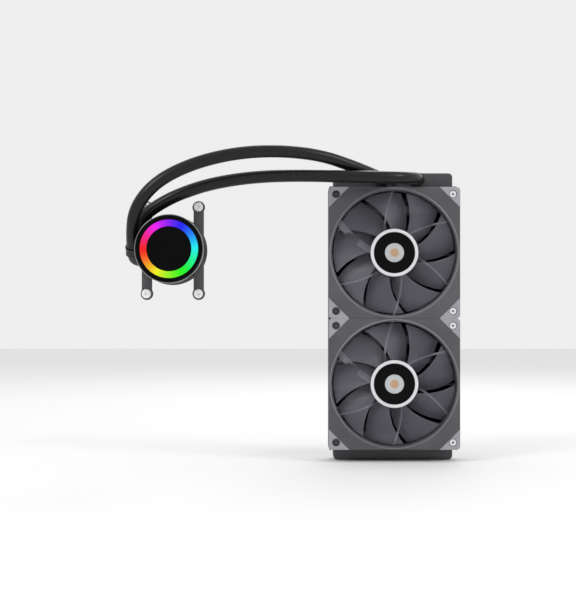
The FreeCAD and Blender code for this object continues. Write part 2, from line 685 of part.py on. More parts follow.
side_flat = box(("-flat_at - 20", "-base_radius - 1", "0"), ("20", "base_radius * 2 + 2", "base_high + 1"))
ports = [rod(("-flat_at - 1", f"port_apart * {side}", "port_high"), "port_radius",
             "flat_at + 1 - 9", ALONG_X) for side in (1, -1)]
feed = rod(("-12.5", "-port_apart", "base_low"), "feed_radius", "port_high - base_low")
seal_groove = ring("seal_inner", "seal_outer", "base_low - 1", "base_low + seal_high")
pin_seat = rod(("0", "0", "chamber_roof + 1"), "1.2", "10")
finish(cut(base, [under_chamber, fin_room, side_flat, feed, seal_groove, pin_seat, plate_holes] + ports),
       "pump_base", PUMP)

# Impeller
# A seven-vane impeller turns on a fixed ceramic pin. Its stem carries a ring magnet inside a
# thin can, which keeps the coolant away from the windings around it.
cells(pin_radius=1.2, pin_play=0.03, pin_low=10.0, pin_high=43.0, stem_radius=3.0, stem_high=41.0)
cells(wheel_radius=13.0, wheel_low=15.0, wheel_thick=1.6, vane_high=4.6, vane_thick=1.0)
cells(rotor_magnet=8.0, rotor_magnet_low=23.0, rotor_magnet_high=40.0)
cells(can_inner=8.8, can_outer=9.6, can_flange=29.0, can_flange_thick=1.4, can_high=44.0)
VANES = 7


def vane():
    inner = polar(size("stem_radius") + 1, 0)
    outer = polar(size("wheel_radius") - 0.4, -48)
    middle = polar((size("stem_radius") + size("wheel_radius")) / 2, -14)
    path = Part.Arc(inner, middle, outer).toShape()
    half = size("vane_thick") / 2
    centre = path.Curve.Center

    def grown(point, amount):
        return centre + (point - centre) * (1 + amount / (point - centre).Length)

    near = [grown(point, -half) for point in (inner, middle, outer)]
    far = [grown(point, half) for point in (outer, middle, inner)]
    edges = [Part.Arc(*near).toShape(), Part.LineSegment(near[2], far[0]).toShape(),
             Part.Arc(*far).toShape(), Part.LineSegment(far[2], near[0]).toShape()]
    high = size("wheel_low") + size("wheel_thick")
    face = Part.Face(Part.Wire(edges)).translated(Vector(0, 0, high - 0.2))
    return face.extrude(Vector(0, 0, size("vane_high") + 0.2))


wheel = turned([("pin_radius + pin_play", "wheel_low"), ("wheel_radius", "wheel_low"),
                ("wheel_radius", "wheel_low + wheel_thick"), ("stem_radius + 1.6", "wheel_low + wheel_thick"),
                ("stem_radius", "rotor_magnet_low - 1"), ("stem_radius", "stem_high"),
                ("pin_radius + pin_play", "stem_high")])
vanes = [shaped(vane().transformed(spin(360 / VANES * index)), "Vane") for index in range(VANES)]
finish(joined([wheel] + vanes), "impeller", PUMP)
finish(ring("stem_radius", "rotor_magnet", "rotor_magnet_low", "rotor_magnet_high"),
       "impeller_magnet", PUMP)
finish(ring("0", "pin_radius", "pin_low + 0.2", "pin_high"), "impeller_pin", PUMP)
finish(turned([("can_inner", "base_high"), ("can_flange", "base_high"),
               ("can_flange", "base_high + can_flange_thick"), ("can_outer", "base_high + can_flange_thick"),
               ("can_outer", "can_high"), ("0", "can_high"), ("0", "pin_high"),
               ("pin_radius", "pin_high"), ("pin_radius", "pin_high - 2"), ("can_inner", "pin_high - 2")]),
       "rotor_can", PUMP)

# Pump motor and lights
# The wound ring drives the impeller magnet through the can. Above it lie the control board
# and the ring board, whose lights shine up through the colour ring.
cells(stator_outer=23.0, stator_low=34.0, stator_high=41.5, stator_rim=3.5, stator_arm=6.0)
cells(control_board=28.0, control_low=45.5, control_high=46.9, light_board_low=54.6)
cells(light_board_high=55.8, light_inner=22.7, light_outer=29.5, light_floor=58.9)
cells(light_front=60.1, light_chip=2.2)
PUMP_POLES = 6
LIGHTS = 12


def pump_stator():
    low = size("stator_low")
    high = size("stator_high") - low
    start = Vector(0, 0, low)
    outer = size("stator_outer")
    rim = Part.makeCylinder(outer, high, start)
    whole = rim.cut(Part.makeCylinder(outer - size("stator_rim"), high, start))
    for pole in range(PUMP_POLES):
        arm = Part.makeBox(outer - 1, size("stator_arm"), high, Vector(0, -size("stator_arm") / 2, low))
        whole = whole.fuse(arm.transformed(spin(360 / PUMP_POLES * pole)))
    return whole.cut(Part.makeCylinder(size("can_outer") + 0.2, high, start))


finish(shaped(pump_stator(), "Stator"), "pump_stator", PUMP)
control_board = ring("0", "control_board", "control_low", "control_high")
light_board = ring("light_inner", "light_outer", "light_board_low", "light_board_high")
chip_half = size("light_chip") / 2
chips = []
for index in range(LIGHTS):
    middle = (size("light_inner") + size("light_outer")) / 2
    chip = Part.makeBox(2 * chip_half, 2 * chip_half, 1.2,
                        Vector(middle - chip_half, -chip_half, size("light_board_high") - 0.2))
    chips.append(shaped(chip.transformed(spin(360 / LIGHTS * index)), "Chip"))
finish(grouped([control_board, joined([light_board] + chips)]), "pump_boards", PUMP)
finish(turned([("light_inner", "light_floor"), ("light_outer", "light_floor"),
               ("light_outer", "light_front - 0.3"), ("light_outer - 0.4", "light_front"),
               ("light_inner + 0.4", "light_front"), ("light_inner", "light_front - 0.3")]),
       "light_ring", PUMP)

# Pump housing
# A black moulded cup covers the motor. The glossy front disc lies in a slim metal-coloured
# rim, and the colour ring lies in a groove of the disc.
cells(housing_waist=30.6, housing_radius=32.6, housing_wall=1.8, face_radius=33.4)
cells(face_low=57.4, face_front=60.1, face_floor=58.9, rim_radius=34.9, rim_low=49.0, rim_front=60.9)
cells(rim_inner=32.6)
finish(turned([("housing_waist - housing_wall", "base_high + can_flange_thick"),
               ("housing_waist", "base_high + can_flange_thick"), ("housing_waist", "rim_low - 3"),
               ("housing_radius", "rim_low - 1"), ("housing_radius", "face_low"),
               ("light_outer + 0.6", "face_low"), ("light_outer + 0.6", "rim_low"),
               ("housing_waist - housing_wall", "rim_low - 2")]), "pump_housing", PUMP)
finish(turned([("0", "face_low"), ("face_radius", "face_low"), ("face_radius", "face_front"),
               ("light_outer", "face_front"), ("light_outer", "face_floor"),
               ("light_inner", "face_floor"), ("light_inner", "face_front"), ("0", "face_front")]),
       "face_disc", PUMP)
finish(turned([("rim_inner", "rim_low"), ("rim_radius - 0.8", "rim_low"), ("rim_radius", "rim_low + 1"),
               ("rim_radius", "rim_front - 0.6"), ("rim_radius - 0.6", "rim_front"),
               ("face_radius + 0.3", "rim_front"), ("face_radius", "rim_front - 0.3"),
               ("face_radius", "face_low"), ("rim_inner", "face_low")]), "rim_ring", PUMP)

# Swivel elbows
# An elbow turns in each port and ends in a barb that points up beside the pump. The upper
# one leans towards the pump and the lower one out past it, so the hoses clear each other.
cells(elbow_out=39.0, elbow_ball=6.2, elbow_radius=5.6, elbow_bore=3.2, elbow_neck=9.0)
cells(elbow_tip=20.5)
cells(washer_thick=0.8, inner_lean=20.0, outer_lean=40.0, port_deep=6.0)
elbow_up = {"inner": size("port_apart"), "outer": -size("port_apart")}
inner_lean = math.radians(size("inner_lean"))
outer_lean = math.radians(size("outer_lean"))
elbow_way = {
    "inner": Vector(math.sin(inner_lean), math.cos(inner_lean), 0),
    "outer": Vector(0, math.cos(outer_lean), math.sin(outer_lean)),
}
elbow_centre = {name: Vector(-size("elbow_out"), elbow_up[name], size("port_high")) for name in elbow_up}


def elbow(name):
    """A moulded elbow: a stem in the port, a ball at the bend and a barb for the hose."""
    centre = elbow_centre[name]
    way = elbow_way[name]
    right = Vector(1, 0, 0)
    stem_start = centre + right * (size("elbow_out") - size("flat_at") - size("washer_thick"))
    stem_long = (stem_start - centre).Length
    root_long = size("port_deep") + size("washer_thick")
    neck = size("elbow_neck")
    tip = size("elbow_tip")
    body = Part.makeSphere(size("elbow_ball"), centre)
    body = body.fuse(Part.makeCylinder(size("elbow_radius"), stem_long, centre, right))
    body = body.fuse(Part.makeCylinder(size("elbow_ball"), neck, centre, way))
    body = body.fuse(Part.makeCylinder(size("port_radius"), root_long, stem_start, right))
    body = body.fuse(Part.makeCylinder(size("barb_root"), tip - neck, centre + way * neck, way))
    ridge = (tip - neck) / 3
    for index in range(3):
        low = centre + way * (neck + ridge * index)
        body = body.fuse(Part.makeCylinder(size("barb_ridge"), ridge * 0.6, low, way))
    bore = Part.makeCylinder(size("elbow_bore"), stem_long + root_long + 1, centre, right)
    body = body.cut(bore.fuse(Part.makeSphere(size("elbow_bore"), centre)))
    return body.cut(Part.makeCylinder(size("elbow_bore"), tip + 1, centre, way))


washers = []
for name in ("inner", "outer"):
    finish(shaped(elbow(name), "Elbow"), name + "_swivel_elbow", PUMP)
    washer = rod(("-flat_at - washer_thick", f"{elbow_up[name]}", "port_high"), "port_radius + 1.8",
                 "washer_thick", ALONG_X)
    inside = rod(("-flat_at - washer_thick - 1", f"{elbow_up[name]}", "port_high"), "port_radius",
                 "washer_thick + 2", ALONG_X)
    washers.append(cut(washer, [inside]))
plate_seal = ring("seal_inner", "seal_outer", "base_low", "base_low + seal_high")
finish(grouped([plate_seal] + washers), "pump_seals", PUMP)

# Hoses
# Each hose is one rubber tube from its barb on the tank to its elbow on the pump. The route
# is given in the radiator's frame: out of the tank, over the top and down the pump's side.
INNER_ROUTE = [
    (26.0, -28.2, 148.5), (26.0, -51.2, 148.5), (14.5, -71.5, 148.2), (-7.0, -84.0, 147.5),
    (-50.0, -90.0, 147.6), (-100.0, -94.0, 148.6), (-148.0, -99.0, 146.8), (-193.0, -103.0, 139.5),
    (-228.0, -105.0, 127.5), (-251.0, -103.0, 115.0),
]
OUTER_ROUTE = [
    (-12.0, -28.2, 148.5), (-12.0, -48.2, 148.5), (-21.5, -65.0, 151.0), (-42.0, -77.5, 158.5),
    (-80.0, -95.0, 170.0), (-127.0, -110.0, 173.0), (-172.0, -121.0, 168.5), (-214.0, -129.0, 156.5),
    (-248.0, -134.0, 138.0), (-268.0, -133.0, 113.0),
]
LAST_RUN = {"inner": 14.5, "outer": 27.0}
ARC_SHARE = 0.45
to_world = FreeCAD.Placement(Vector(size("pump_across"), -size("pump_seat"), size("pump_up")), FACING_OUT)


def route(name, points):
    """The hand-placed points, ended by two on the axis of the elbow's barb."""
    way = FACING_OUT.multVec(elbow_way[name])
    end = to_world.multVec(elbow_centre[name]) + way * size("elbow_neck")
    return [Vector(*point) for point in points] + [end + way * LAST_RUN[name], end]


def rounded_path(name, points):
    """Straight runs joined by tangent arcs, each as large as its two runs allow."""
    edges = []
    radii = []
    start = points[0]
    for before, corner, after in zip(points, points[1:], points[2:]):
        back = before - corner
        ahead = after - corner
        half_turn = (math.pi - back.getAngle(ahead)) / 2
        trim = ARC_SHARE * min(back.Length, ahead.Length)
        radius = trim / math.tan(half_turn)
        first = corner + back.normalize() * trim
        last = corner + ahead.normalize() * trim
        inward = (back + ahead).normalize()
        middle = corner + inward * (radius / math.cos(half_turn) - radius)
        edges.append(Part.LineSegment(start, first).toShape())
        edges.append(Part.Arc(first, middle, last).toShape())
        radii.append(round(radius, 1))
        start = last
    edges.append(Part.LineSegment(start, points[-1]).toShape())
    wire = Part.Wire(edges)
    print(name, "hose bend radii", radii, "length", round(wire.Length, 1))
    return wire


def tube_along(wire, start, way, radius):
    circle = Part.Wire([Part.makeCircle(radius, start, way)])
    return wire.makePipeShell([circle], True, False)


for name, points in (("inner", INNER_ROUTE), ("outer", OUTER_ROUTE)):
    line = route(name, points)
    wire = rounded_path(name, line)
    way = line[1] - line[0]
    hose = tube_along(wire, line[0], way, size("hose_radius"))
    hose = hose.cut(tube_along(wire, line[0], way, size("hose_bore")))
    section = math.pi * (size("hose_radius") ** 2 - size("hose_bore") ** 2)
    print(name, "hose volume over section times length", round(hose.Volume / section / wire.Length, 4))
    node = shaped(hose, "Hose")
    node.Label = name + "_hose"
    finished.append(node)

doc.recompute()
ferrules = [sleeve.Shape.transformed(place) for place in sleeve_places]
for name in ("inner", "outer"):
    start = elbow_centre[name] + elbow_way[name] * (size("elbow_neck") + size("ferrule_gap"))
    turn = FreeCAD.Rotation(Vector(0, 0, 1), elbow_way[name])
    seat = FreeCAD.Placement(start, turn)
    pump_place = FreeCAD.Placement(Vector(size("pump_across"), size("pump_up"), size("pump_seat")),
                                   FreeCAD.Rotation())
    ferrules.append(sleeve.Shape.transformed(pump_place.multiply(seat).toMatrix()))
finish(shaped(Part.makeCompound(ferrules), "Ferrules"), "hose_ferrules", RADIATOR)

# Mounting bracket
# A steel collar sits round the pump's base. Its two upright arms reach the four holes of the
# processor socket, where sprung screws press the cold plate down.
cells(arm_low=5.5, arm_thick=2.6, arm_half=5.4, hole_across=27.0, hole_up=45.0, arm_end=6.6)
cells(screw_room=2.0, collar_outer=31.0, collar_inner=30.2, collar_low=5.5)
cells(stud_radius=1.75, stud_low=-13.0, head_low=13.4, head_radius=4.7, head_front=16.6)
cells(clip_radius=3.4, clip_low=4.6, clip_high=5.4, spring_wire=0.35, spring_radius=3.0)
SPRING_TURNS = 3.0


def bracket():
    """Two arms with round ends, joined across above and below the pump by the collar."""
    low = "arm_low"
    pieces = [ring("collar_inner", "base_radius + 3", low, "arm_low + arm_thick")]
    for side in (1, -1):
        pieces.append(box((f"hole_across * {side} - arm_half", "-hole_up", low),
                          ("arm_half * 2", "hole_up * 2", "arm_thick")))
        for end in (1, -1):
            pieces.append(rod((f"hole_across * {side}", f"hole_up * {end}", low), "arm_end", "arm_thick"))
    return joined(pieces)


socket_places = [(x * size("hole_across"), y * size("hole_up")) for y in (1, -1) for x in (1, -1)]
screw_rooms = [rod((f"hole_across * {x}", f"hole_up * {y}", "0"), "screw_room", "20")
               for y in (1, -1) for x in (1, -1)]
pump_room = turned([("0", "0"), ("plate_radius + 1.1", "0"), ("plate_radius + 1.1", "base_low"),
                    ("base_radius + 0.1", "base_low + 4.05"), ("base_radius + 0.1", "50"), ("0", "50")])
finish(cut(bracket(), screw_rooms + [pump_room]), "mounting_bracket", PUMP)

spring_screw = turned([("0", "stud_low"), ("stud_radius - 0.5", "stud_low"),
                       ("stud_radius", "stud_low + 0.6"), ("stud_radius", "clip_low"),
                       ("clip_radius", "clip_low"), ("clip_radius", "clip_high"),
                       ("stud_radius", "clip_high"), ("stud_radius", "head_low"),
                       ("head_radius", "head_low"), ("head_radius", "head_front - 0.6"),
                       ("head_radius - 0.6", "head_front"), ("1.5", "head_front"),
                       ("1.5", "head_front - 1.4"), ("0", "head_front - 1.4")])


def helix_spring():
    """One unbroken coil of wire on arcs of a quarter turn, with its closed end turns."""
    radius = size("spring_radius")
    low = size("arm_low") + size("arm_thick") + size("spring_wire") + 0.02
    high = size("head_low") - size("spring_wire") - 0.02
    turns = SPRING_TURNS
    steps = int(turns * 4)

    def at(quarter):
        share = quarter / steps
        return polar(radius, 90 * quarter, low + (high - low) * share)

    edges = [Part.Arc(at(k), at(k + 0.5), at(k + 1)).toShape() for k in range(steps)]
    wire = Part.Wire(edges)
    first = wire.OrderedEdges[0]
    tangent = first.tangentAt(first.FirstParameter)
    circle = Part.Wire([Part.makeCircle(size("spring_wire"), at(0), tangent)])
    gap = (high - low) / turns - 2 * size("spring_wire")
    print("least gap between the spring's turns", round(gap, 2))
    return wire.makePipeShell([circle], True, False)


spring = shaped(helix_spring(), "Spring")
for index, (x, y) in enumerate(socket_places, start=1):
    finish(copies(spring_screw, [shift(x, y)]), f"bracket_screw_{index}", PUMP)
    finish(copies(spring, [shift(x, y)]), f"bracket_spring_{index}", PUMP)

# Writing out
# Every object must be sound before any sub-part is written.
doc.recompute()
for item in doc.Objects:
    if "Invalid" in item.State or "Error" in item.State:
        raise SystemExit(f"{item.Name} ({item.Label}) failed: {item.State}")
for item in finished:
    if item.Shape.isNull() or not item.Shape.isValid() or not item.Shape.Solids:
        raise SystemExit(f"{item.Label} has no sound solid")
os.makedirs("parts", exist_ok=True)
for item in finished:
    item.Shape.exportStep(f"parts/{item.Label}.step")
print(len(finished), "sub-parts written")
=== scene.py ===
import math

import bmesh
import bpy
from mathutils import Matrix, Vector


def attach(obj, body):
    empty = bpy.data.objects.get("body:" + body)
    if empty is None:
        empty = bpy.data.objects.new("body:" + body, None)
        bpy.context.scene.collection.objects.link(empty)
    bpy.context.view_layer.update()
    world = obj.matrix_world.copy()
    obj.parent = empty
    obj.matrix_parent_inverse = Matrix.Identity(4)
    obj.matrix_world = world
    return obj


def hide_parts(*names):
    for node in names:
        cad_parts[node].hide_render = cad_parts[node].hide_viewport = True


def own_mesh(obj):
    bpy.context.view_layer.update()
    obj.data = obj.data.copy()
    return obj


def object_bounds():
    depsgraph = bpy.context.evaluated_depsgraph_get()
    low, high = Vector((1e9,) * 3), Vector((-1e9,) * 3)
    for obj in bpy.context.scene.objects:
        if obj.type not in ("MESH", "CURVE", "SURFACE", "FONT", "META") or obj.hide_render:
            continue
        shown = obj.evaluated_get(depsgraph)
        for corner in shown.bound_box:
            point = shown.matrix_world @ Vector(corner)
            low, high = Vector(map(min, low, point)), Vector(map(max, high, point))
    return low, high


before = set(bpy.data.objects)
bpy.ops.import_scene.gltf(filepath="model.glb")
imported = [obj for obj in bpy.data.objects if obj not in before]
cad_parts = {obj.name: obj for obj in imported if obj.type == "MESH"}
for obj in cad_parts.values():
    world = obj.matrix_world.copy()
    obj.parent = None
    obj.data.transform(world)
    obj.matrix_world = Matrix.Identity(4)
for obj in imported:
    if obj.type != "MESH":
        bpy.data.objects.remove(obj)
cad_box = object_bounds()

# Camera and studio
# The cooler is seen square on from in front of its fans, from the photograph's distance and
# height. A pale floor and sky and three soft lamps light its black pieces evenly.
CAMERA_PLACE = (-0.1134, -1.652, 0.0153)
CAMERA_LENS = 89.0
FLOOR_HALF = 4.0
FLOOR_GAP = 0.0004
SKY_STRENGTH = 0.86
PAPER_TONE = 0.86


def tone(red, green, blue):
    """A colour given as a screen shows it, from 0 to 255, turned into the light that shaders use."""
    parts = [channel / 255 for channel in (red, green, blue)]
    light = [part / 12.92 if part <= 0.04045 else ((part + 0.055) / 1.055) ** 2.4 for part in parts]
    return (*light, 1.0)


camera = bpy.data.objects.new("front_camera", bpy.data.cameras.new("front_camera"))
camera.location = CAMERA_PLACE
camera.rotation_euler = (math.pi / 2, 0, 0)
camera.data.lens = CAMERA_LENS
camera.data.clip_start = 0.05
bpy.context.scene.collection.objects.link(camera)
bpy.context.scene.camera = camera
bpy.context.scene.view_settings.view_transform = "Standard"

sky = bpy.data.worlds.new("pale_sky")
sky.use_nodes = True
sky.node_tree.nodes["Background"].inputs["Color"].default_value = (1, 1, 1, 1)
sky.node_tree.nodes["Background"].inputs["Strength"].default_value = SKY_STRENGTH
bpy.context.scene.world = sky


def lamp(name, place, target, across, power):
    """A round soft lamp that points at its target."""
    light = bpy.data.lights.new(name, "AREA")
    light.shape = "DISK"
    light.size = across
    light.energy = power
    holder = bpy.data.objects.new(name, light)
    holder.location = place
    aim = Vector(target) - Vector(place)
    holder.rotation_euler = aim.to_track_quat("-Z", "Y").to_euler()
    bpy.context.scene.collection.objects.link(holder)


lamp("high_left_lamp", (-1.1, -1.2, 1.3), (-0.1, 0, 0), 0.7, 9)
lamp("high_right_lamp", (1.2, -0.8, 1.0), (0, 0, 0), 0.5, 5)
lamp("back_lamp", (0.2, 1.3, 1.2), (-0.1, 0, 0), 0.8, 6)

floor_mesh = bmesh.new()
bmesh.ops.create_grid(floor_mesh, x_segments=1, y_segments=1, size=FLOOR_HALF)
bmesh.ops.translate(floor_mesh, verts=floor_mesh.verts, vec=(0, 0, cad_box[0].z - FLOOR_GAP))
floor_data = bpy.data.meshes.new("studio_floor")
floor_mesh.to_mesh(floor_data)
floor_mesh.free()
studio_floor = bpy.data.objects.new("studio_floor", floor_data)
bpy.context.scene.collection.objects.link(studio_floor)
paper = bpy.data.materials.new("studio_paper")
paper.use_nodes = True
paper_inputs = paper.node_tree.nodes["Principled BSDF"].inputs
paper_inputs["Base Color"].default_value = (PAPER_TONE, PAPER_TONE, PAPER_TONE, 1)
paper_inputs["Roughness"].default_value = 0.9
paper_inputs["Specular IOR Level"].default_value = 0.1
floor_data.materials.append(paper)

# Hoses
# Two smooth black rubber hoses carry the coolant between the radiator and the pump. Each is
# pushed over a barb at both ends and bends only by its own stiffness.
MM = 0.001
FACING_OUT = Matrix.Rotation(math.pi / 2, 4, "X")
HOSE_RADIUS = 6.5
HOSE_ROUTES = {
    "inner": [
        (26.0, -28.2, 148.5), (26.0, -51.2, 148.5), (14.5, -71.5, 148.2), (-7.0, -84.0, 147.5),
        (-50.0, -90.0, 147.6), (-100.0, -94.0, 148.6), (-148.0, -99.0, 146.8),
        (-193.0, -103.0, 139.5), (-228.0, -105.0, 127.5), (-251.0, -103.0, 115.0),
    ],
    "outer": [
        (-12.0, -28.2, 148.5), (-12.0, -48.2, 148.5), (-21.5, -65.0, 151.0),
        (-42.0, -77.5, 158.5), (-80.0, -95.0, 170.0), (-127.0, -110.0, 173.0),
        (-172.0, -121.0, 168.5), (-214.0, -129.0, 156.5), (-248.0, -134.0, 138.0),
        (-268.0, -133.0, 113.0),
    ],
}
PUMP_PLACE = Vector((-233.5, -77.0, 71.0))
ELBOW_OUT = 39.0
PORT_HIGH = 23.0
PORT_APART = 11.0
ELBOW_NECK = 9.0
LAST_RUN = {"inner": 14.5, "outer": 27.0}
INNER_LEAN = math.radians(20)
OUTER_LEAN = math.radians(40)
ELBOW_WAY = {
    "inner": Vector((math.sin(INNER_LEAN), math.cos(INNER_LEAN), 0)),
    "outer": Vector((0, math.cos(OUTER_LEAN), math.sin(OUTER_LEAN))),
}
ELBOW_CENTRE = {
    "inner": Vector((-ELBOW_OUT, PORT_APART, PORT_HIGH)),
    "outer": Vector((-ELBOW_OUT, -PORT_APART, PORT_HIGH)),
}


def finish(name, colour, roughness, metallic=0.0, drift=0.12, patch=14.0, grain=0.35,
           depth=0.02, specular=0.5):
    """A surface whose colour drifts from patch to patch and whose skin has a fine grain.

    The patch and the grain are sizes in millimetres, and depth is the grain's height.
    """
    skin = bpy.data.materials.new(name)
    skin.use_nodes = True
    nodes = skin.node_tree.nodes
    link = skin.node_tree.links.new
    shader = nodes["Principled BSDF"]
    shader.inputs["Metallic"].default_value = metallic
    shader.inputs["Specular IOR Level"].default_value = specular
    where = nodes.new("ShaderNodeTexCoord")
    patches = nodes.new("ShaderNodeTexNoise")
    patches.inputs["Scale"].default_value = 1 / (patch * MM)
    patches.inputs["Detail"].default_value = 5
    tint = nodes.new("ShaderNodeValToRGB")
    for stop, change in ((0, 1 - drift), (1, 1 + drift)):
        tint.color_ramp.elements[stop].position = 0.3 + 0.4 * stop
        tint.color_ramp.elements[stop].color = (*[part * change for part in colour[:3]], 1)
    speckle = nodes.new("ShaderNodeTexNoise")
    speckle.inputs["Scale"].default_value = 1 / (grain * MM)
    speckle.inputs["Detail"].default_value = 3
    gloss = nodes.new("ShaderNodeMapRange")
    gloss.inputs["To Min"].default_value = max(0.02, roughness - 0.08)
    gloss.inputs["To Max"].default_value = min(1.0, roughness + 0.08)
    relief = nodes.new("ShaderNodeBump")
    relief.inputs["Distance"].default_value = depth * MM
    relief.inputs["Strength"].default_value = 0.6
    link(where.outputs["Object"], patches.inputs["Vector"])
    link(where.outputs["Object"], speckle.inputs["Vector"])
    link(patches.outputs["Fac"], tint.inputs["Fac"])
    link(tint.outputs["Color"], shader.inputs["Base Color"])
    link(patches.outputs["Fac"], gloss.inputs["Value"])
    link(gloss.outputs["Result"], shader.inputs["Roughness"])
    link(speckle.outputs["Fac"], relief.inputs["Height"])
    link(relief.outputs["Normal"], shader.inputs["Normal"])
    return skin


hose_rubber = finish("hose_rubber", tone(11, 11, 12), 0.3, drift=0.1, grain=0.5, depth=0.006,
                     specular=0.32)


def elbow_point(name, along):
    """A point on the axis of an elbow's barb, in the radiator's frame, in millimetres."""
    return PUMP_PLACE + FACING_OUT @ (ELBOW_CENTRE[name] + ELBOW_WAY[name] * along)


for name, route in HOSE_ROUTES.items():
    points = [Vector(point) for point in route]
    points.append(elbow_point(name, ELBOW_NECK + LAST_RUN[name]))
    points.append(elbow_point(name, ELBOW_NECK))
    line = bpy.data.curves.new(f"{name}_hose_rubber", "CURVE")
    line.dimensions = "3D"
    line.bevel_depth = HOSE_RADIUS * MM
    line.bevel_resolution = 7
    line.use_fill_caps = True
    spline = line.splines.new("NURBS")
    spline.points.add(len(points) - 1)
    for place, point in zip(spline.points, points):
        place.co = (*(point * MM), 1)
    spline.order_u = 3
    spline.use_endpoint_u = True
    spline.resolution_u = 16
    line.materials.append(hose_rubber)
    hose = bpy.data.objects.new(f"{name}_hose_rubber", line)
    bpy.context.scene.collection.objects.link(hose)
    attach(hose, "loop")
    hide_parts(f"{name}_hose")

# Hose ferrules
# A short black metal sleeve is crimped over each hose end, with three pressed grooves and a
# rolled lip at both ends, so that the hose can't slip off its barb.
FERRULE_LONG = 9.0
FERRULE_WALL = 0.9
FERRULE_GAP = 0.4
BARB_ACROSS = {"inner": 26.0, "outer": -12.0}
BARB_UP = 148.5
BARB_SHOULDER = 28.2


def turned(corners, steps=96):
    """A skin spun about z from a half section given as radius and height, in millimetres."""
    work = bmesh.new()
    section = [work.verts.new((radius, 0, height)) for radius, height in corners]
    pairs = zip(section, section[1:] + section[:1])
    sides = [work.edges.new(pair) for pair in pairs if pair[0].co.x > 0 or pair[1].co.x > 0]
    bmesh.ops.spin(work, geom=section + sides, axis=(0, 0, 1), cent=(0, 0, 0), angle=2 * math.pi,
                   steps=steps, use_merge=True)
    bmesh.ops.remove_doubles(work, verts=work.verts, dist=0.0005)
    bmesh.ops.recalc_face_normals(work, faces=work.faces)
    return work


def placed(work, *moves):
    """Move a skin; the first move named is made first."""
    for move in moves:
        bmesh.ops.transform(work, matrix=move, verts=work.verts)
    return work


def together(*skins):
    """Several closed skins as one mesh."""
    whole = bmesh.new()
    for skin in skins:
        sheet = bpy.data.meshes.new("part_of_piece")
        skin.to_mesh(sheet)
        skin.free()
        whole.from_mesh(sheet)
        bpy.data.meshes.remove(sheet)
    return whole


def set_down(work, name, place, material, body, slot, *nodes, crease=32):
    """Make a piece of a skin in millimetres: stand it in its assembly, finish it and fix it."""
    bmesh.ops.transform(work, matrix=Matrix.Scale(MM, 4) @ place, verts=work.verts)
    mesh = bpy.data.meshes.new(name)
    work.to_mesh(mesh)
    work.free()
    mesh.materials.append(material)
    mesh.polygons.foreach_set("use_smooth", [True] * len(mesh.polygons))
    mesh.set_sharp_from_angle(angle=math.radians(crease))
    piece = bpy.data.objects.new(name, mesh)
    bpy.context.scene.collection.objects.link(piece)
    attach(piece, body)
    if nodes:
        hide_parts(*nodes)
    return piece


def ferrule():
    """One crimped sleeve, standing at height nought."""
    out = HOSE_RADIUS + FERRULE_WALL
    corners = [(HOSE_RADIUS, 0), (out + 0.3, 0), (out + 0.3, 0.8), (out, 1.3)]
    for groove in (2.6, 4.5, 6.4):
        corners += [(out, groove - 0.6), (out - 0.35, groove - 0.25), (out - 0.35, groove + 0.25),
                    (out, groove + 0.6)]
    corners += [(out, FERRULE_LONG - 1.3), (out + 0.3, FERRULE_LONG - 0.8),
                (out + 0.3, FERRULE_LONG), (HOSE_RADIUS, FERRULE_LONG)]
    return turned(corners, 64)


crimp_metal = finish("crimp_metal", tone(30, 30, 32), 0.32, drift=0.1, depth=0.008, specular=0.4)
ferrules = []
for name, across in BARB_ACROSS.items():
    seat = Matrix.Translation((across, BARB_UP, BARB_SHOULDER + FERRULE_GAP))
    ferrules.append(placed(ferrule(), seat, FACING_OUT))
for name, way in ELBOW_WAY.items():
    turn = Vector((0, 0, 1)).rotation_difference(FACING_OUT @ way).to_matrix().to_4x4()
    seat = Matrix.Translation(elbow_point(name, ELBOW_NECK + FERRULE_GAP))
    ferrules.append(placed(ferrule(), turn, seat))
set_down(together(*ferrules), "crimped_ferrules", Matrix.Identity(4), crimp_metal, "loop",
         "ferrule_metal", "hose_ferrules")

# Radiator tanks
# Each end tank is pressed from aluminium sheet with rounded corners and painted semi-matt
# black. A soldered seam runs round the edge where it meets the core.
CORE_HALF = 140.0
HEADER_THICK = 2.5
TANK_HALF = 64.5
TANK_BACK = 0.8
TANK_DEEP = 25.4
TANK_CORNER = 4.5
TANK_SOFT = 2.2
TOP_REACH = 157.0
BOTTOM_REACH = 153.0
tank_paint = finish("tank_paint", tone(60, 60, 63), 0.42, drift=0.14, patch=25, depth=0.015)


def tank(reach):
    """A rounded box between the header plate and the tank's far wall, drawn upwards."""
    low = CORE_HALF + HEADER_THICK
    work = bmesh.new()
    bmesh.ops.create_cube(work, size=1)
    fit = Matrix.Diagonal((2 * TANK_HALF, reach - low, TANK_DEEP, 1))
    middle = Matrix.Translation((0, (reach + low) / 2, TANK_BACK + TANK_DEEP / 2))
    placed(work, fit, middle)

    def at_far_end(edge):
        return all(vertex.co.y > low + 1 for vertex in edge.verts)

    def runs_in_depth(edge):
        return abs(edge.verts[0].co.z - edge.verts[1].co.z) > 1

    corners = [edge for edge in work.edges if at_far_end(edge) and runs_in_depth(edge)]
    bmesh.ops.bevel(work, geom=corners, offset=TANK_CORNER, offset_type="OFFSET", segments=6,
                    profile=0.5, affect="EDGES", material=-1)
    rims = [edge for edge in work.edges
            if edge.calc_face_angle() > 0.6 and any(v.co.y > low + 1 for v in edge.verts)
            and not runs_in_depth(edge)]
    bmesh.ops.bevel(work, geom=rims, offset=TANK_SOFT, offset_type="OFFSET", segments=4,
                    profile=0.5, affect="EDGES", material=-1)
    return work


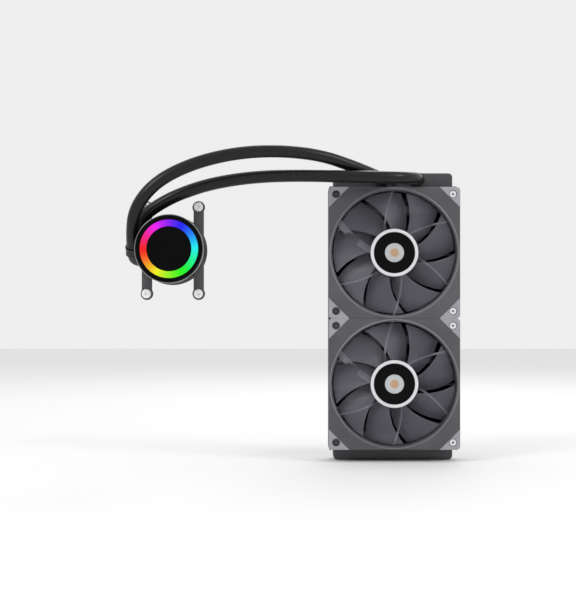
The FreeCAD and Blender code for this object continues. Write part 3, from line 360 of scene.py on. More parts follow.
set_down(tank(TOP_REACH), "top_tank_pressing", FACING_OUT, tank_paint, "loop", "tank_paint",
         "top_tank")
upside_down = Matrix.Rotation(math.pi, 4, "Z")
set_down(placed(tank(BOTTOM_REACH), upside_down), "bottom_tank_pressing", FACING_OUT, tank_paint,
         "loop", "tank_paint", "bottom_tank")

# Radiator core
# Flat coolant tubes run between two header plates, with folded fin strips soldered in the
# gaps, all under thin black paint. Folded steel rails close both long sides.
# The core's black paint is given a mid grey, lighter than the tanks': painted light that lifts the core
# where it lies in shade behind the blades.
core_paint = finish("core_paint", tone(88, 88, 93), 0.5, drift=0.2, patch=6, depth=0.02)
rail_paint = finish("rail_paint", tone(58, 58, 61), 0.42, drift=0.12, patch=30, depth=0.015)


def refinish(node, material):
    """Give a frame node its own finish and leave its shape alone."""
    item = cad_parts[node]
    item.data.materials.clear()
    item.data.materials.append(material)


for node in ("coolant_tubes", "cooling_fins"):
    refinish(node, core_paint)
refinish("header_plates", tank_paint)
refinish("side_rails", rail_paint)

# Hose barbs and fill plug
# Two dark turned barbs are soldered into the top tank's front face. Between them a small
# black screw plug with a driver slot closes the hole through which the loop was filled.
TANK_FACE = 26.2
TANK_SHEET = 1.6
BARB_BORE = 3.2
BARB_ROOT = 4.2
BARB_RIDGE = 4.6
BARB_SEAT = 7.4
BARB_LONG = 12.8
barb_metal = finish("barb_metal", tone(112, 112, 116), 0.3, metallic=0.9, drift=0.08, depth=0.006)


def ridged(low, high):
    """The outline of a barb's three ridges and its mouth."""
    step = (high - low) / 3
    corners = []
    for index in range(3):
        start = low + step * index
        corners += [(BARB_RIDGE, start), (BARB_RIDGE, start + step * 0.6), (BARB_ROOT, start + step)]
    return corners + [(BARB_BORE, high)]


BARB_SECTION = [(BARB_BORE, TANK_FACE - TANK_SHEET), (BARB_ROOT, TANK_FACE - TANK_SHEET),
                (BARB_ROOT, TANK_FACE), (BARB_SEAT, TANK_FACE), (BARB_SEAT, BARB_SHOULDER - 0.4),
                (BARB_SEAT - 0.4, BARB_SHOULDER)]
BARB_SECTION += ridged(BARB_SHOULDER, BARB_SHOULDER + BARB_LONG)
barbs = [placed(turned(BARB_SECTION, 64), Matrix.Translation((across, BARB_UP, 0)))
         for across in BARB_ACROSS.values()]
set_down(together(*barbs), "turned_barbs", FACING_OUT, barb_metal, "loop", "barb_metal",
         "hose_barbs")
black_screw = finish("black_screw", tone(40, 40, 43), 0.33, metallic=0.3, drift=0.08, depth=0.006)
refinish("fill_plug", black_screw)

# Fan frames
# Both fans are moulded in dark grey plastic: two square flanges joined by the round duct,
# with a raised lip in front and six curved struts behind that carry the motor.
FAN_HALF = 70.0
FAN_ROUND = 4.0
FAN_DEEP = 25.0
FAN_SKIN = 0.5
FLANGE = 4.2
DUCT = 66.5
DUCT_OUTER = 69.0
LIP_TOP = 68.3
MOUNT_RADIUS = 25.0
STRUTS = 6
STRUT_WIDE = 2.2
LEAD_STRUT = 2
LEAD_STRUT_WIDE = 7.0
STRUT_DEEP = 4.5
STRUT_START = 30
STRUT_TWIST = 24
STRUT_BOW = 2.4
LOOP_STEPS = 240
RADIATOR_DEEP = 27.0
FANS = {"upper": 70.0, "lower": -70.0}
frame_plastic = finish("frame_plastic", tone(76, 76, 80), 0.46, drift=0.18, patch=45, depth=0.02)
# The lip's outer chamfer gets a lighter grey than the frame, on the same plastic: a painted highlight
# round the duct's mouth.
lip_painted_highlight = finish("lip_painted_highlight", tone(122, 122, 128), 0.34, drift=0.08, patch=45, depth=0.004)
# The motor mount and struts are the frame's own dark grey plastic, painted much lighter here: painted
# highlight, so they show as light arcs through the blades.
strut_painted_light = finish("strut_painted_light", tone(160, 160, 168), 0.4, drift=0.1, patch=20, depth=0.01)


def fan_place(fan):
    return Matrix.Translation((0, -RADIATOR_DEEP, FANS[fan])) @ FACING_OUT


def on_square(point, half, corner):
    """The point of a rounded square that lies the same way from its middle."""
    way = Vector((point.x, point.y)).normalized()
    big, small = max(abs(way.x), abs(way.y)), min(abs(way.x), abs(way.y))
    reach = half / big
    if reach * small > half - corner:
        centre = half - corner
        along = centre * (big + small)
        reach = along + math.sqrt(along * along - 2 * centre * centre + corner * corner)
    return way * reach


def ringed(loops):
    """A closed skin through loops given as kind, size and height; a square has round corners."""
    work = bmesh.new()
    rings = []
    for kind, half, height in loops:
        made = bmesh.ops.create_circle(work, cap_ends=False, radius=half, segments=LOOP_STEPS)
        for vertex in made["verts"]:
            if kind == "square":
                vertex.co.xy = on_square(vertex.co, half, FAN_ROUND)
            vertex.co.z = height
        rings.append(list({edge for vertex in made["verts"] for edge in vertex.link_edges}))
    for near, far in zip(rings, rings[1:] + rings[:1]):
        bmesh.ops.bridge_loops(work, edges=near + far)
    bmesh.ops.recalc_face_normals(work, faces=work.faces)
    return work


def around(radius, degrees, height=0.0):
    angle = math.radians(degrees)
    return Vector((radius * math.cos(angle), radius * math.sin(angle), height))


def circle_centre(first, middle, last):
    """The centre of the arc through three points that lie at one height."""
    a, b = middle - first, last - first
    cross = 2 * (a.x * b.y - a.y * b.x)
    x = (b.y * a.length_squared - a.y * b.length_squared) / cross
    y = (a.x * b.length_squared - b.x * a.length_squared) / cross
    return first + Vector((x, y, 0))


def soften(work, width, sharper_than=35, segments=2):
    """Round every edge that is sharper than an angle."""
    limit = math.radians(sharper_than)
    edges = [edge for edge in work.edges if edge.is_manifold and edge.calc_face_angle() > limit]
    bmesh.ops.bevel(work, geom=edges, offset=width, offset_type="OFFSET", segments=segments,
                    profile=0.5, affect="EDGES", material=-1, clamp_overlap=True)
    return work


def strut(outer_angle, width):
    """A curved bar from the motor mount to the duct, spun from its inner end."""
    inner = around(MOUNT_RADIUS - 2, outer_angle + STRUT_TWIST, FAN_SKIN)
    outer = around(DUCT_OUTER - 1, outer_angle, FAN_SKIN)
    along = (outer - inner).normalized()
    middle = (inner + outer) / 2 + Vector((-along.y, along.x, 0)) * STRUT_BOW
    centre = circle_centre(inner, middle, outer)
    spoke = (inner - centre).normalized()
    work = bmesh.new()
    corners = []
    for side, height in ((-1, 0), (1, 0), (1, 1), (-1, 1)):
        corners.append(work.verts.new(inner + spoke * side * width / 2
                                      + Vector((0, 0, height * STRUT_DEEP))))
    end = work.faces.new(corners)
    swing = (outer - centre).xy.angle_signed((inner - centre).xy)
    bmesh.ops.spin(work, geom=[end] + end.edges[:] + end.verts[:], axis=(0, 0, 1), cent=centre,
                   angle=swing, steps=20)
    bmesh.ops.recalc_face_normals(work, faces=work.faces)
    return soften(work, 0.35, sharper_than=60)


FRONT_FACE = FAN_DEEP - FAN_SKIN
FRONT_LOW = FRONT_FACE - FLANGE
REAR_HIGH = FAN_SKIN + FLANGE
MOULDED_FRAME = [
    ("circle", DUCT, 0.9), ("circle", DUCT, FAN_DEEP - 0.5), ("circle", DUCT + 0.15, FAN_DEEP - 0.1),
    ("circle", DUCT + 0.5, FAN_DEEP), ("circle", LIP_TOP, FAN_DEEP),
    ("circle", DUCT_OUTER - 0.1, FAN_DEEP - 0.25), ("circle", DUCT_OUTER + 0.2, FRONT_FACE),
    ("square", FAN_HALF - 0.45, FRONT_FACE), ("square", FAN_HALF - 0.12, FRONT_FACE - 0.12),
    ("square", FAN_HALF, FRONT_FACE - 0.45), ("square", FAN_HALF, FRONT_LOW + 0.3),
    ("square", FAN_HALF - 0.3, FRONT_LOW), ("circle", DUCT_OUTER + 0.4, FRONT_LOW),
    ("circle", DUCT_OUTER, FRONT_LOW - 0.4), ("circle", DUCT_OUTER, REAR_HIGH + 0.4),
    ("circle", DUCT_OUTER + 0.4, REAR_HIGH), ("square", FAN_HALF - 0.3, REAR_HIGH),
    ("square", FAN_HALF, REAR_HIGH - 0.3), ("square", FAN_HALF, FAN_SKIN + 0.45),
    ("square", FAN_HALF - 0.45, FAN_SKIN), ("circle", DUCT + 0.4, FAN_SKIN),
]
MOTOR_MOUNT = [(0, 1.2), (3.5, 1.2), (3.5, 17.0), (5.0, 17.0), (5.0, 3.5), (24.6, 3.5), (25.0, 3.1),
               (25.0, 0.8), (24.7, 0.5), (0, 0.5)]
for fan in FANS:
    widths = [LEAD_STRUT_WIDE if index == LEAD_STRUT else STRUT_WIDE for index in range(STRUTS)]
    bars = [strut(STRUT_START + 360 / STRUTS * index, wide) for index, wide in enumerate(widths)]
    moulding = set_down(ringed(MOULDED_FRAME), f"{fan}_moulded_frame", fan_place(fan), frame_plastic,
                        "loop", "frame_plastic", f"{fan}_fan_frame")
    # Faces on the lip's outer chamfer take the lighter grey, which paints a highlight there.
    moulding.data.materials.append(lip_painted_highlight)
    for face in moulding.data.polygons:
        across = math.hypot(face.center.x, face.center.z - FANS[fan] * MM)
        height = -face.center.y - RADIATOR_DEEP * MM
        if across > LIP_TOP * MM and height > (FRONT_FACE + 0.02) * MM:
            face.material_index = 1
    # The mount and struts take the lighter grey of painted highlight.
    set_down(together(turned(MOTOR_MOUNT), *bars), f"{fan}_motor_mount", fan_place(fan), strut_painted_light,
             "loop", "frame_plastic", "fan_motor_mounts")

# Fan corner pads
# Light grey rubber pads are pressed into all eight corners of a fan, front and back, to keep
# its hum off the radiator. A round hole in each leaves room for the screw.
PAD_LEG = 22.0
PAD_DEEP = 1.2
SCREW_ACROSS = 62.25
HEAD_ROOM = 4.2
SHANK_ROOM = 2.2
pad_rubber = finish("pad_rubber", tone(148, 148, 154), 0.6, drift=0.07, patch=8, depth=0.02)


def arc_points(centre, radius, start, end, steps):
    """Points along an arc in the plane, its two ends among them."""
    turn = (end - start) / steps
    return [centre + around(radius, start + turn * step) for step in range(steps + 1)]


def plate(outline, holes, low, high, edge):
    """A flat plate with round holes, raised from its outline and softened at every edge."""
    work = bmesh.new()
    for loop in [outline] + holes:
        corners = [work.verts.new((point.x, point.y, low)) for point in loop]
        for pair in zip(corners, corners[1:] + corners[:1]):
            work.edges.new(pair)
    bmesh.ops.triangle_fill(work, use_beauty=True, use_dissolve=False, edges=work.edges[:])
    raised = bmesh.ops.extrude_face_region(work, geom=work.faces[:], use_keep_orig=True)
    lifted = [item for item in raised["geom"] if isinstance(item, bmesh.types.BMVert)]
    bmesh.ops.translate(work, verts=lifted, vec=(0, 0, high - low))
    bmesh.ops.recalc_face_normals(work, faces=work.faces)
    return soften(work, edge, sharper_than=50)


def hole(x, y, radius, steps=40):
    return [Vector((x, y, 0)) + around(radius, 360 / steps * step) for step in range(steps)]


def corner_pads():
    """Four pads in front and four behind."""
    far = FAN_HALF
    near = far - PAD_LEG
    outline = [Vector((near, far, 0)), Vector((far, near, 0))]
    outline += arc_points(Vector((far - FAN_ROUND, far - FAN_ROUND, 0)), FAN_ROUND, 0, 90, 8)
    skins = []
    for low, high, room in ((FRONT_FACE - PAD_DEEP, FAN_DEEP, HEAD_ROOM),
                            (0, FAN_SKIN + PAD_DEEP, SHANK_ROOM)):
        for quarter in range(4):
            pad = plate(outline, [hole(SCREW_ACROSS, SCREW_ACROSS, room)], low, high, 0.25)
            skins.append(placed(pad, Matrix.Rotation(math.pi / 2 * quarter, 4, "Z")))
    return together(*skins)


for fan in FANS:
    set_down(corner_pads(), f"{fan}_rubber_pads", fan_place(fan), pad_rubber, "loop", "pad_rubber",
             "fan_corner_pads")

# Fan rotors
# Nine wide blades of smoky plastic sweep forward from a cup-shaped hub. The cup closes over
# the motor and turns with it, anticlockwise as seen from in front.
HUB_RADIUS = 25.5
HUB_INNER = 23.7
BLADES = 9
BLADE_TIP = 65.0
BLADE_THICK = 1.5
BLADE_SWEEP = 23.0
BLADE_HALF_ANGLE = math.radians(18.2)
BLADE_CAMBER = 2.2
BLADE_MIDDLE = 14.0
RISE_ROOT = 7.2
RISE_TIP = 5.2
BLADE_ALPHA = 0.36
blade_plastic = finish("blade_plastic", tone(112, 112, 122), 0.34, drift=0.2, patch=30, depth=0.003)
blade_plastic.node_tree.nodes["Principled BSDF"].inputs["Alpha"].default_value = BLADE_ALPHA
hub_plastic = finish("hub_plastic", tone(30, 30, 32), 0.3, drift=0.1, depth=0.01)


def blade():
    """One blade: a grid laid on the swept and cambered surface, then given its thickness."""
    inner = HUB_INNER + 0.6
    work = bmesh.new()
    bmesh.ops.create_grid(work, x_segments=20, y_segments=28, size=1)
    for vertex in work.verts:
        across, share = vertex.co.x, (vertex.co.y + 1) / 2
        spread = math.tan(BLADE_HALF_ANGLE) * across
        rim = inner + 0.8 + (BLADE_TIP - inner - 0.8) * share
        radius = rim / math.sqrt(1 + spread * spread)
        sweep = BLADE_SWEEP * (radius - inner) / (BLADE_TIP - inner)
        part = (radius - inner) / (BLADE_TIP + 6 - inner)
        rise = RISE_ROOT + (RISE_TIP - RISE_ROOT) * part
        bulge = BLADE_CAMBER * (0.5 + part / 2) * (1 - across * across)
        flat = around(radius, sweep) + around(radius * spread, sweep + 90)
        vertex.co = (flat.x, flat.y, BLADE_MIDDLE + across * rise + bulge)
    bmesh.ops.recalc_face_normals(work, faces=work.faces)
    if sum(face.normal.z for face in work.faces) < 0:
        bmesh.ops.reverse_faces(work, faces=work.faces)
    bmesh.ops.translate(work, verts=work.verts, vec=(0, 0, -BLADE_THICK / 2))
    raised = bmesh.ops.extrude_face_region(work, geom=work.faces[:], use_keep_orig=True)
    lifted = [item for item in raised["geom"] if isinstance(item, bmesh.types.BMVert)]
    bmesh.ops.translate(work, verts=lifted, vec=(0, 0, BLADE_THICK))
    bmesh.ops.recalc_face_normals(work, faces=work.faces)
    return soften(work, 0.3, sharper_than=60)


HUB_CUP = [(HUB_INNER, 5.5), (25.2, 5.5), (HUB_RADIUS, 5.8), (HUB_RADIUS, 22.4), (21.9, 22.4),
           (21.9, 23.4), (0, 23.4), (0, 22.4), (1.5, 22.4), (1.5, 18.0), (4.0, 18.0), (4.0, 20.8),
           (HUB_INNER, 20.8)]
for fan in FANS:
    turn = f"{fan}_fan_rotor"
    blades = [placed(blade(), Matrix.Rotation(2 * math.pi / BLADES * index, 4, "Z"))
              for index in range(BLADES)]
    set_down(together(*blades), f"{fan}_swept_blades", fan_place(fan), blade_plastic, turn,
             "blade_plastic", f"{fan}_fan_blades")
    set_down(turned(HUB_CUP), f"{fan}_hub_cup", fan_place(fan), hub_plastic, turn, "hub_black",
             f"{fan}_fan_rotor")

# Hub trim
# A satin white ring and a gloss black disc close the front of each hub. A small turned metal
# medallion is stuck on the disc, with a copper-coloured hollow in its middle.
TRIM_FRONT = 24.7
DISC_FRONT = 24.2
MEDALLION = 10.2
trim_white = finish("trim_white", tone(214, 214, 218), 0.28, drift=0.04, depth=0.005)
hub_gloss = finish("hub_gloss", tone(5, 5, 6), 0.12, drift=0.1, depth=0.001, specular=0.08)


def turned_metal(name, colour, roughness, centre, mid_colour, mid_radius):
    """Metal faced on a lathe: fine rings about a centre, and another colour in the middle."""
    skin = finish(name, colour, roughness, metallic=0.85, drift=0.05, depth=0.004)
    nodes = skin.node_tree.nodes
    link = skin.node_tree.links.new
    where = nodes.new("ShaderNodeTexCoord")
    about = nodes.new("ShaderNodeMapping")
    about.vector_type = "TEXTURE"
    about.inputs["Location"].default_value = centre
    about.inputs["Scale"].default_value = (1, 1000, 1)
    reach = nodes.new("ShaderNodeVectorMath")
    reach.operation = "LENGTH"
    inside = nodes.new("ShaderNodeMapRange")
    inside.inputs["From Min"].default_value = mid_radius * MM * 0.85
    inside.inputs["From Max"].default_value = mid_radius * MM * 1.15
    rings = nodes.new("ShaderNodeMath")
    rings.operation = "SINE"
    fine = nodes.new("ShaderNodeMath")
    fine.operation = "MULTIPLY"
    fine.inputs[1].default_value = 2 * math.pi / (0.45 * MM)
    mix = nodes.new("ShaderNodeMix")
    mix.data_type = "RGBA"
    mix.inputs["A"].default_value = mid_colour
    relief = next(node for node in nodes if node.type == "BUMP")
    tint = next(node for node in nodes if node.type == "VALTORGB")
    link(where.outputs["Object"], about.inputs["Vector"])
    link(about.outputs["Vector"], reach.inputs[0])
    link(reach.outputs["Value"], inside.inputs["Value"])
    link(reach.outputs["Value"], fine.inputs[0])
    link(fine.outputs["Value"], rings.inputs[0])
    link(rings.outputs["Value"], relief.inputs["Height"])
    link(inside.outputs["Result"], mix.inputs["Factor"])
    link(tint.outputs["Color"], mix.inputs["B"])
    link(mix.outputs["Result"], nodes["Principled BSDF"].inputs["Base Color"])
    return skin


RING_SECTION = [(21.9, 22.4), (HUB_RADIUS, 22.4), (HUB_RADIUS, TRIM_FRONT - 0.8),
                (HUB_RADIUS - 0.25, TRIM_FRONT - 0.25), (HUB_RADIUS - 0.8, TRIM_FRONT),
                (22.7, TRIM_FRONT), (22.15, TRIM_FRONT - 0.25), (21.9, TRIM_FRONT - 0.8)]
DISC_SECTION = [(0, 23.4), (21.9, 23.4), (21.9, DISC_FRONT - 0.15), (21.75, DISC_FRONT), (0, DISC_FRONT)]
MEDALLION_SECTION = [(0, DISC_FRONT), (MEDALLION, DISC_FRONT), (MEDALLION, DISC_FRONT + 0.35),
                     (MEDALLION - 0.25, DISC_FRONT + 0.6), (3.3, DISC_FRONT + 0.6),
                     (3.0, DISC_FRONT + 0.35), (0, DISC_FRONT + 0.35)]
for fan in FANS:
    turn = f"{fan}_fan_rotor"
    set_down(turned(RING_SECTION), f"{fan}_hub_trim", fan_place(fan), trim_white, turn, "hub_trim",
             f"{fan}_fan_hub_ring")
    set_down(turned(DISC_SECTION), f"{fan}_hub_face", fan_place(fan), hub_gloss, turn, "hub_black",
             f"{fan}_fan_hub_disc")
    faced = turned_metal(f"{fan}_medallion_metal", tone(194, 196, 198), 0.34,
                         (0, 0, FANS[fan] * MM), tone(196, 162, 132), 4.6)
    set_down(turned(MEDALLION_SECTION), f"{fan}_hub_medallion", fan_place(fan), faced, turn,
             "medallion_metal", f"{fan}_fan_medallion")

# Fan motors
# Inside each hub a ring magnet turns round a wound steel core, on a ground shaft in a bronze
# sleeve. A small green board switches the coils, and a clip holds the lead on its strut.
ferrite = finish("ferrite", tone(58, 57, 58), 0.55, metallic=0.2, drift=0.1, depth=0.02)
ground_steel = finish("ground_steel", tone(190, 190, 193), 0.24, metallic=1.0, drift=0.05, depth=0.003)
bronze = finish("sintered_bronze", tone(186, 142, 84), 0.4, metallic=0.9, drift=0.1, depth=0.02)
copper_wire = finish("copper_wire", tone(176, 96, 52), 0.32, metallic=0.8, drift=0.18, patch=3,
                     depth=0.05)
green_board = finish("green_board", tone(22, 72, 44), 0.35, drift=0.15, patch=5, depth=0.01)
clip_plastic = finish("clip_plastic", tone(74, 74, 78), 0.45, drift=0.1, depth=0.02)
for fan in FANS:
    refinish(f"{fan}_fan_magnet", ferrite)
    refinish(f"{fan}_fan_shaft", ground_steel)
refinish("fan_bearing_sleeves", bronze)
refinish("fan_motor_cores", copper_wire)
refinish("fan_circuit_boards", green_board)
refinish("fan_lead_clips", clip_plastic)

# Fan screws
# Long screws go through the fans' corners into the radiator's rails. The four on the right
# are bright nickel and the four on the left are black, and each head has a hexagon socket.
SCREW_RADIUS = 1.45
HEAD_RADIUS = 3.7
HEAD_LOW = FRONT_FACE - PAD_DEEP
HEAD_HIGH = HEAD_LOW + 1.6
SOCKET_RADIUS = 1.3
bright_nickel = finish("bright_nickel", tone(224, 224, 226), 0.22, metallic=0.75, drift=0.04,
                       depth=0.004)


def hexed(work, radius):
    """Squeeze a round socket of a turned skin to six flats."""
    for vertex in work.verts:
        reach = vertex.co.xy.length
        if 0 < reach < radius * 1.01:
            angle = math.atan2(vertex.co.y, vertex.co.x) % (math.pi / 3) - math.pi / 6
            vertex.co.xy *= math.cos(math.pi / 6) / math.cos(angle)
    return work


SCREW_SECTION = [(0, -3), (SCREW_RADIUS - 0.4, -3), (SCREW_RADIUS, -2.5), (SCREW_RADIUS, HEAD_LOW),
                 (HEAD_RADIUS, HEAD_LOW), (HEAD_RADIUS, HEAD_HIGH - 0.6),
                 (HEAD_RADIUS - 0.2, HEAD_HIGH - 0.2),
                 (HEAD_RADIUS - 0.7, HEAD_HIGH), (SOCKET_RADIUS + 0.15, HEAD_HIGH),
                 (SOCKET_RADIUS, HEAD_HIGH - 0.1), (SOCKET_RADIUS, HEAD_LOW + 0.4), (0, HEAD_LOW + 0.4)]
screw_heights = [middle + side * SCREW_ACROSS for middle in FANS.values() for side in (1, -1)]
for side, colour, material, slot in ((1, "bright", bright_nickel, "screw_bright"),
                                     (-1, "dark", black_screw, "screw_dark")):
    screws = [placed(hexed(turned(SCREW_SECTION, 48), SOCKET_RADIUS),
                     Matrix.Translation((side * SCREW_ACROSS, height, RADIATOR_DEEP)))
              for height in screw_heights]
    set_down(together(*screws), f"{colour}_long_screws", FACING_OUT, material, "loop", slot,
             f"{colour}_fan_screws")

# Cold plate and pump base
# A ground copper disc rests on the processor, screwed up against the pump's moulded base.
# The base holds the coolant chambers and has a flat on its left side for both hose ports.
BASE_RADIUS = 33.0
BASE_LOW = 3.2
BASE_HIGH = 32.0
BASE_FLAT = 24.0
AT_PUMP = Matrix.Translation(PUMP_PLACE) @ FACING_OUT
ground_copper = turned_metal("ground_copper", tone(198, 124, 82), 0.3,
                             PUMP_PLACE * MM, tone(198, 124, 82), 5)
pump_plastic = finish("pump_plastic", tone(33, 33, 35), 0.4, drift=0.12, patch=18, depth=0.03)
seal_rubber = finish("seal_rubber", tone(28, 28, 29), 0.6, drift=0.1, depth=0.02)
refinish("cold_plate", ground_copper)
refinish("cold_plate_screws", ground_steel)
refinish("pump_seals", seal_rubber)
BASE_SECTION = [(16.0, BASE_LOW), (28.0, BASE_LOW), (28.4, BASE_LOW + 0.2),
                (BASE_RADIUS - 0.2, BASE_LOW + 3.7),
                (BASE_RADIUS, BASE_LOW + 4.2), (BASE_RADIUS, 20.6), (BASE_RADIUS - 0.5, 21.0),
                (BASE_RADIUS - 0.5, 21.8), (BASE_RADIUS, 22.2), (BASE_RADIUS, BASE_HIGH - 0.5),
                (BASE_RADIUS - 0.5, BASE_HIGH), (15.0, BASE_HIGH), (15.0, 13.5), (16.0, 12.5)]
base_skin = turned(BASE_SECTION, 160)
whole_base = base_skin.verts[:] + base_skin.edges[:] + base_skin.faces[:]
cut_off = bmesh.ops.bisect_plane(base_skin, geom=whole_base, dist=0.0001,
                                 plane_co=(-BASE_FLAT, 0, 0), plane_no=(-1, 0, 0),
                                 clear_outer=True)
open_edges = [item for item in cut_off["geom_cut"] if isinstance(item, bmesh.types.BMEdge)]
bmesh.ops.holes_fill(base_skin, edges=open_edges, sides=0)
set_down(base_skin, "moulded_pump_base", AT_PUMP, pump_plastic, "loop", "pump_plastic", "pump_base")

# Impeller and pump motor
# A seven-vane impeller turns on a ceramic pin in the coolant. Wound steel poles turn its ring
# magnet through a thin can, and two boards above them run the motor and the lights.
natural_plastic = finish("natural_plastic", tone(206, 202, 190), 0.34, drift=0.06, depth=0.01)
ceramic = finish("ceramic", tone(238, 236, 230), 0.18, drift=0.03, depth=0.003)
refinish("impeller", natural_plastic)
refinish("impeller_magnet", ferrite)
refinish("impeller_pin", ceramic)
refinish("rotor_can", natural_plastic)
refinish("pump_stator", copper_wire)
refinish("pump_boards", green_board)

# Pump housing
# A black moulded cup covers the motor. Its gloss black face is a disc pressed into a slim
# dark anodised rim whose front edge is turned bright.
WAIST = 30.6
SHOULDER = 32.6
CAN_TOP = 33.4
FACE_LOW = 57.4
FACE_FRONT = 60.1
FACE_RADIUS = 33.4
RIM_RADIUS = 34.9
RIM_LOW = 49.0
RIM_FRONT = 60.9
LIGHT_INNER = 22.7
LIGHT_OUTER = 29.5
LIGHT_FLOOR = 58.9
face_gloss = finish("face_gloss", tone(4, 4, 5), 0.1, drift=0.1, depth=0.001, specular=0.06)
rim_dark = finish("rim_dark", tone(34, 35, 36), 0.3, metallic=0.4, drift=0.08, depth=0.004, specular=0.3)
rim_bright = finish("rim_bright", tone(138, 140, 138), 0.25, metallic=0.7, drift=0.06, depth=0.003)
HOUSING_SECTION = [(WAIST - 1.8, CAN_TOP), (WAIST - 0.3, CAN_TOP), (WAIST, CAN_TOP + 0.3), (WAIST, 39.6),
                   (WAIST - 0.4, 40), (WAIST - 0.4, 40.8), (WAIST, 41.2), (WAIST, RIM_LOW - 3),
                   (SHOULDER, RIM_LOW - 1), (SHOULDER, FACE_LOW), (30.1, FACE_LOW), (30.1, RIM_LOW),
                   (WAIST - 1.8, RIM_LOW - 2)]
set_down(turned(HOUSING_SECTION, 128), "motor_cup", AT_PUMP, pump_plastic, "loop", "pump_plastic",
         "pump_housing")
FACE_SECTION = [(0, FACE_LOW), (FACE_RADIUS, FACE_LOW), (FACE_RADIUS, FACE_FRONT - 0.3),
                (FACE_RADIUS - 0.3, FACE_FRONT), (LIGHT_OUTER, FACE_FRONT), (LIGHT_OUTER, LIGHT_FLOOR),
                (LIGHT_INNER, LIGHT_FLOOR), (LIGHT_INNER, FACE_FRONT), (0, FACE_FRONT)]
set_down(turned(FACE_SECTION, 160), "gloss_face", AT_PUMP, face_gloss, "loop", "face_gloss",
         "face_disc")
RIM_SECTION = [(SHOULDER, RIM_LOW), (RIM_RADIUS - 0.8, RIM_LOW), (RIM_RADIUS - 0.25, RIM_LOW + 0.3),
               (RIM_RADIUS, RIM_LOW + 0.9), (RIM_RADIUS, 55.4), (RIM_RADIUS - 0.3, 55.7),
               (RIM_RADIUS - 0.3, 56.3), (RIM_RADIUS, 56.6), (RIM_RADIUS, RIM_FRONT - 0.6),
               (RIM_RADIUS - 0.18, RIM_FRONT - 0.18), (RIM_RADIUS - 0.6, RIM_FRONT),
               (FACE_RADIUS + 0.4, RIM_FRONT), (FACE_RADIUS, RIM_FRONT - 0.4), (FACE_RADIUS, FACE_LOW),
               (SHOULDER, FACE_LOW)]
rim = set_down(turned(RIM_SECTION, 160), "slim_rim", AT_PUMP, rim_dark, "loop", "rim_metal", "rim_ring")
rim.data.materials.append(rim_bright)
for face in rim.data.polygons:
    out = face.center - PUMP_PLACE * MM
    if -out.y > (RIM_FRONT - 0.61) * MM and math.hypot(out.x, out.z) > (RIM_RADIUS - 0.5) * MM:
        face.material_index = 1

# Colour ring
# A frosted ring lies in a groove of the face. The ring board behind it lights it in colours
# that fade into each other right round the colour wheel.
HUE_AT_TOP = 0.745
LIT_SATURATION = 0.86
LIT_STRENGTH = 0.88
SCREEN_CURVE = 2.2


def lit_ring(name):
    """Frosted plastic whose glow goes once through all hues, violet at the top."""
    skin = finish(name, tone(14, 14, 14), 0.5, drift=0.03, depth=0.002, specular=0.08)
    nodes = skin.node_tree.nodes
    link = skin.node_tree.links.new
    shader = nodes["Principled BSDF"]
    where = nodes.new("ShaderNodeTexCoord")
    about = nodes.new("ShaderNodeMapping")
    about.vector_type = "TEXTURE"
    about.inputs["Location"].default_value = PUMP_PLACE * MM
    about.inputs["Rotation"].default_value = (math.pi / 2, 0, 0)
    angle = nodes.new("ShaderNodeTexGradient")
    angle.gradient_type = "RADIAL"
    shift = nodes.new("ShaderNodeMath")
    shift.operation = "ADD"
    shift.inputs[1].default_value = HUE_AT_TOP - 0.75
    wrap = nodes.new("ShaderNodeMath")
    wrap.operation = "FRACT"
    glow = nodes.new("ShaderNodeCombineColor")
    glow.mode = "HSV"
    glow.inputs["Green"].default_value = LIT_SATURATION
    glow.inputs["Blue"].default_value = 1.0
    curve = nodes.new("ShaderNodeGamma")
    curve.inputs["Gamma"].default_value = SCREEN_CURVE
    shader.inputs["Emission Strength"].default_value = LIT_STRENGTH
    link(where.outputs["Object"], about.inputs["Vector"])
    link(about.outputs["Vector"], angle.inputs["Vector"])
    link(angle.outputs["Fac"], shift.inputs[0])
    link(shift.outputs["Value"], wrap.inputs[0])
    link(wrap.outputs["Value"], glow.inputs["Red"])
    link(glow.outputs["Color"], curve.inputs["Color"])
    link(curve.outputs["Color"], shader.inputs["Emission Color"])
    return skin


LIGHT_SECTION = [(LIGHT_INNER, LIGHT_FLOOR), (LIGHT_OUTER, LIGHT_FLOOR), (LIGHT_OUTER, FACE_FRONT - 0.3),
                 (LIGHT_OUTER - 0.3, FACE_FRONT), (LIGHT_INNER + 0.3, FACE_FRONT),
                 (LIGHT_INNER, FACE_FRONT - 0.3)]
set_down(turned(LIGHT_SECTION, 160), "frosted_ring", AT_PUMP, lit_ring("lit_ring"), "loop", "light",
         "light_ring")

# Swivel elbows
# Each hose ends at a moulded black elbow that turns in its port, so that the hoses can leave
# the pump any way round. Both point up here, one leaning in and one leaning out.
ELBOW_BALL = 6.2
ELBOW_STEM = 5.6
PORT_RADIUS = 4.0
PORT_DEEP = 6.8
ELBOW_TIP = 20.5
ELBOW_COLLAR = 5.2
WASHER = 0.8


def stretch(work, ends, vec):
    """Draw a ring of edges out in a straight line; gives back the new ring."""
    drawn = bmesh.ops.extrude_edge_only(work, edges=ends)
    moved = [item for item in drawn["geom"] if isinstance(item, bmesh.types.BMVert)]
    bmesh.ops.translate(work, verts=moved, vec=vec)
    return [item for item in drawn["geom"] if isinstance(item, bmesh.types.BMEdge)
            and all(vertex in moved for vertex in item.verts)]


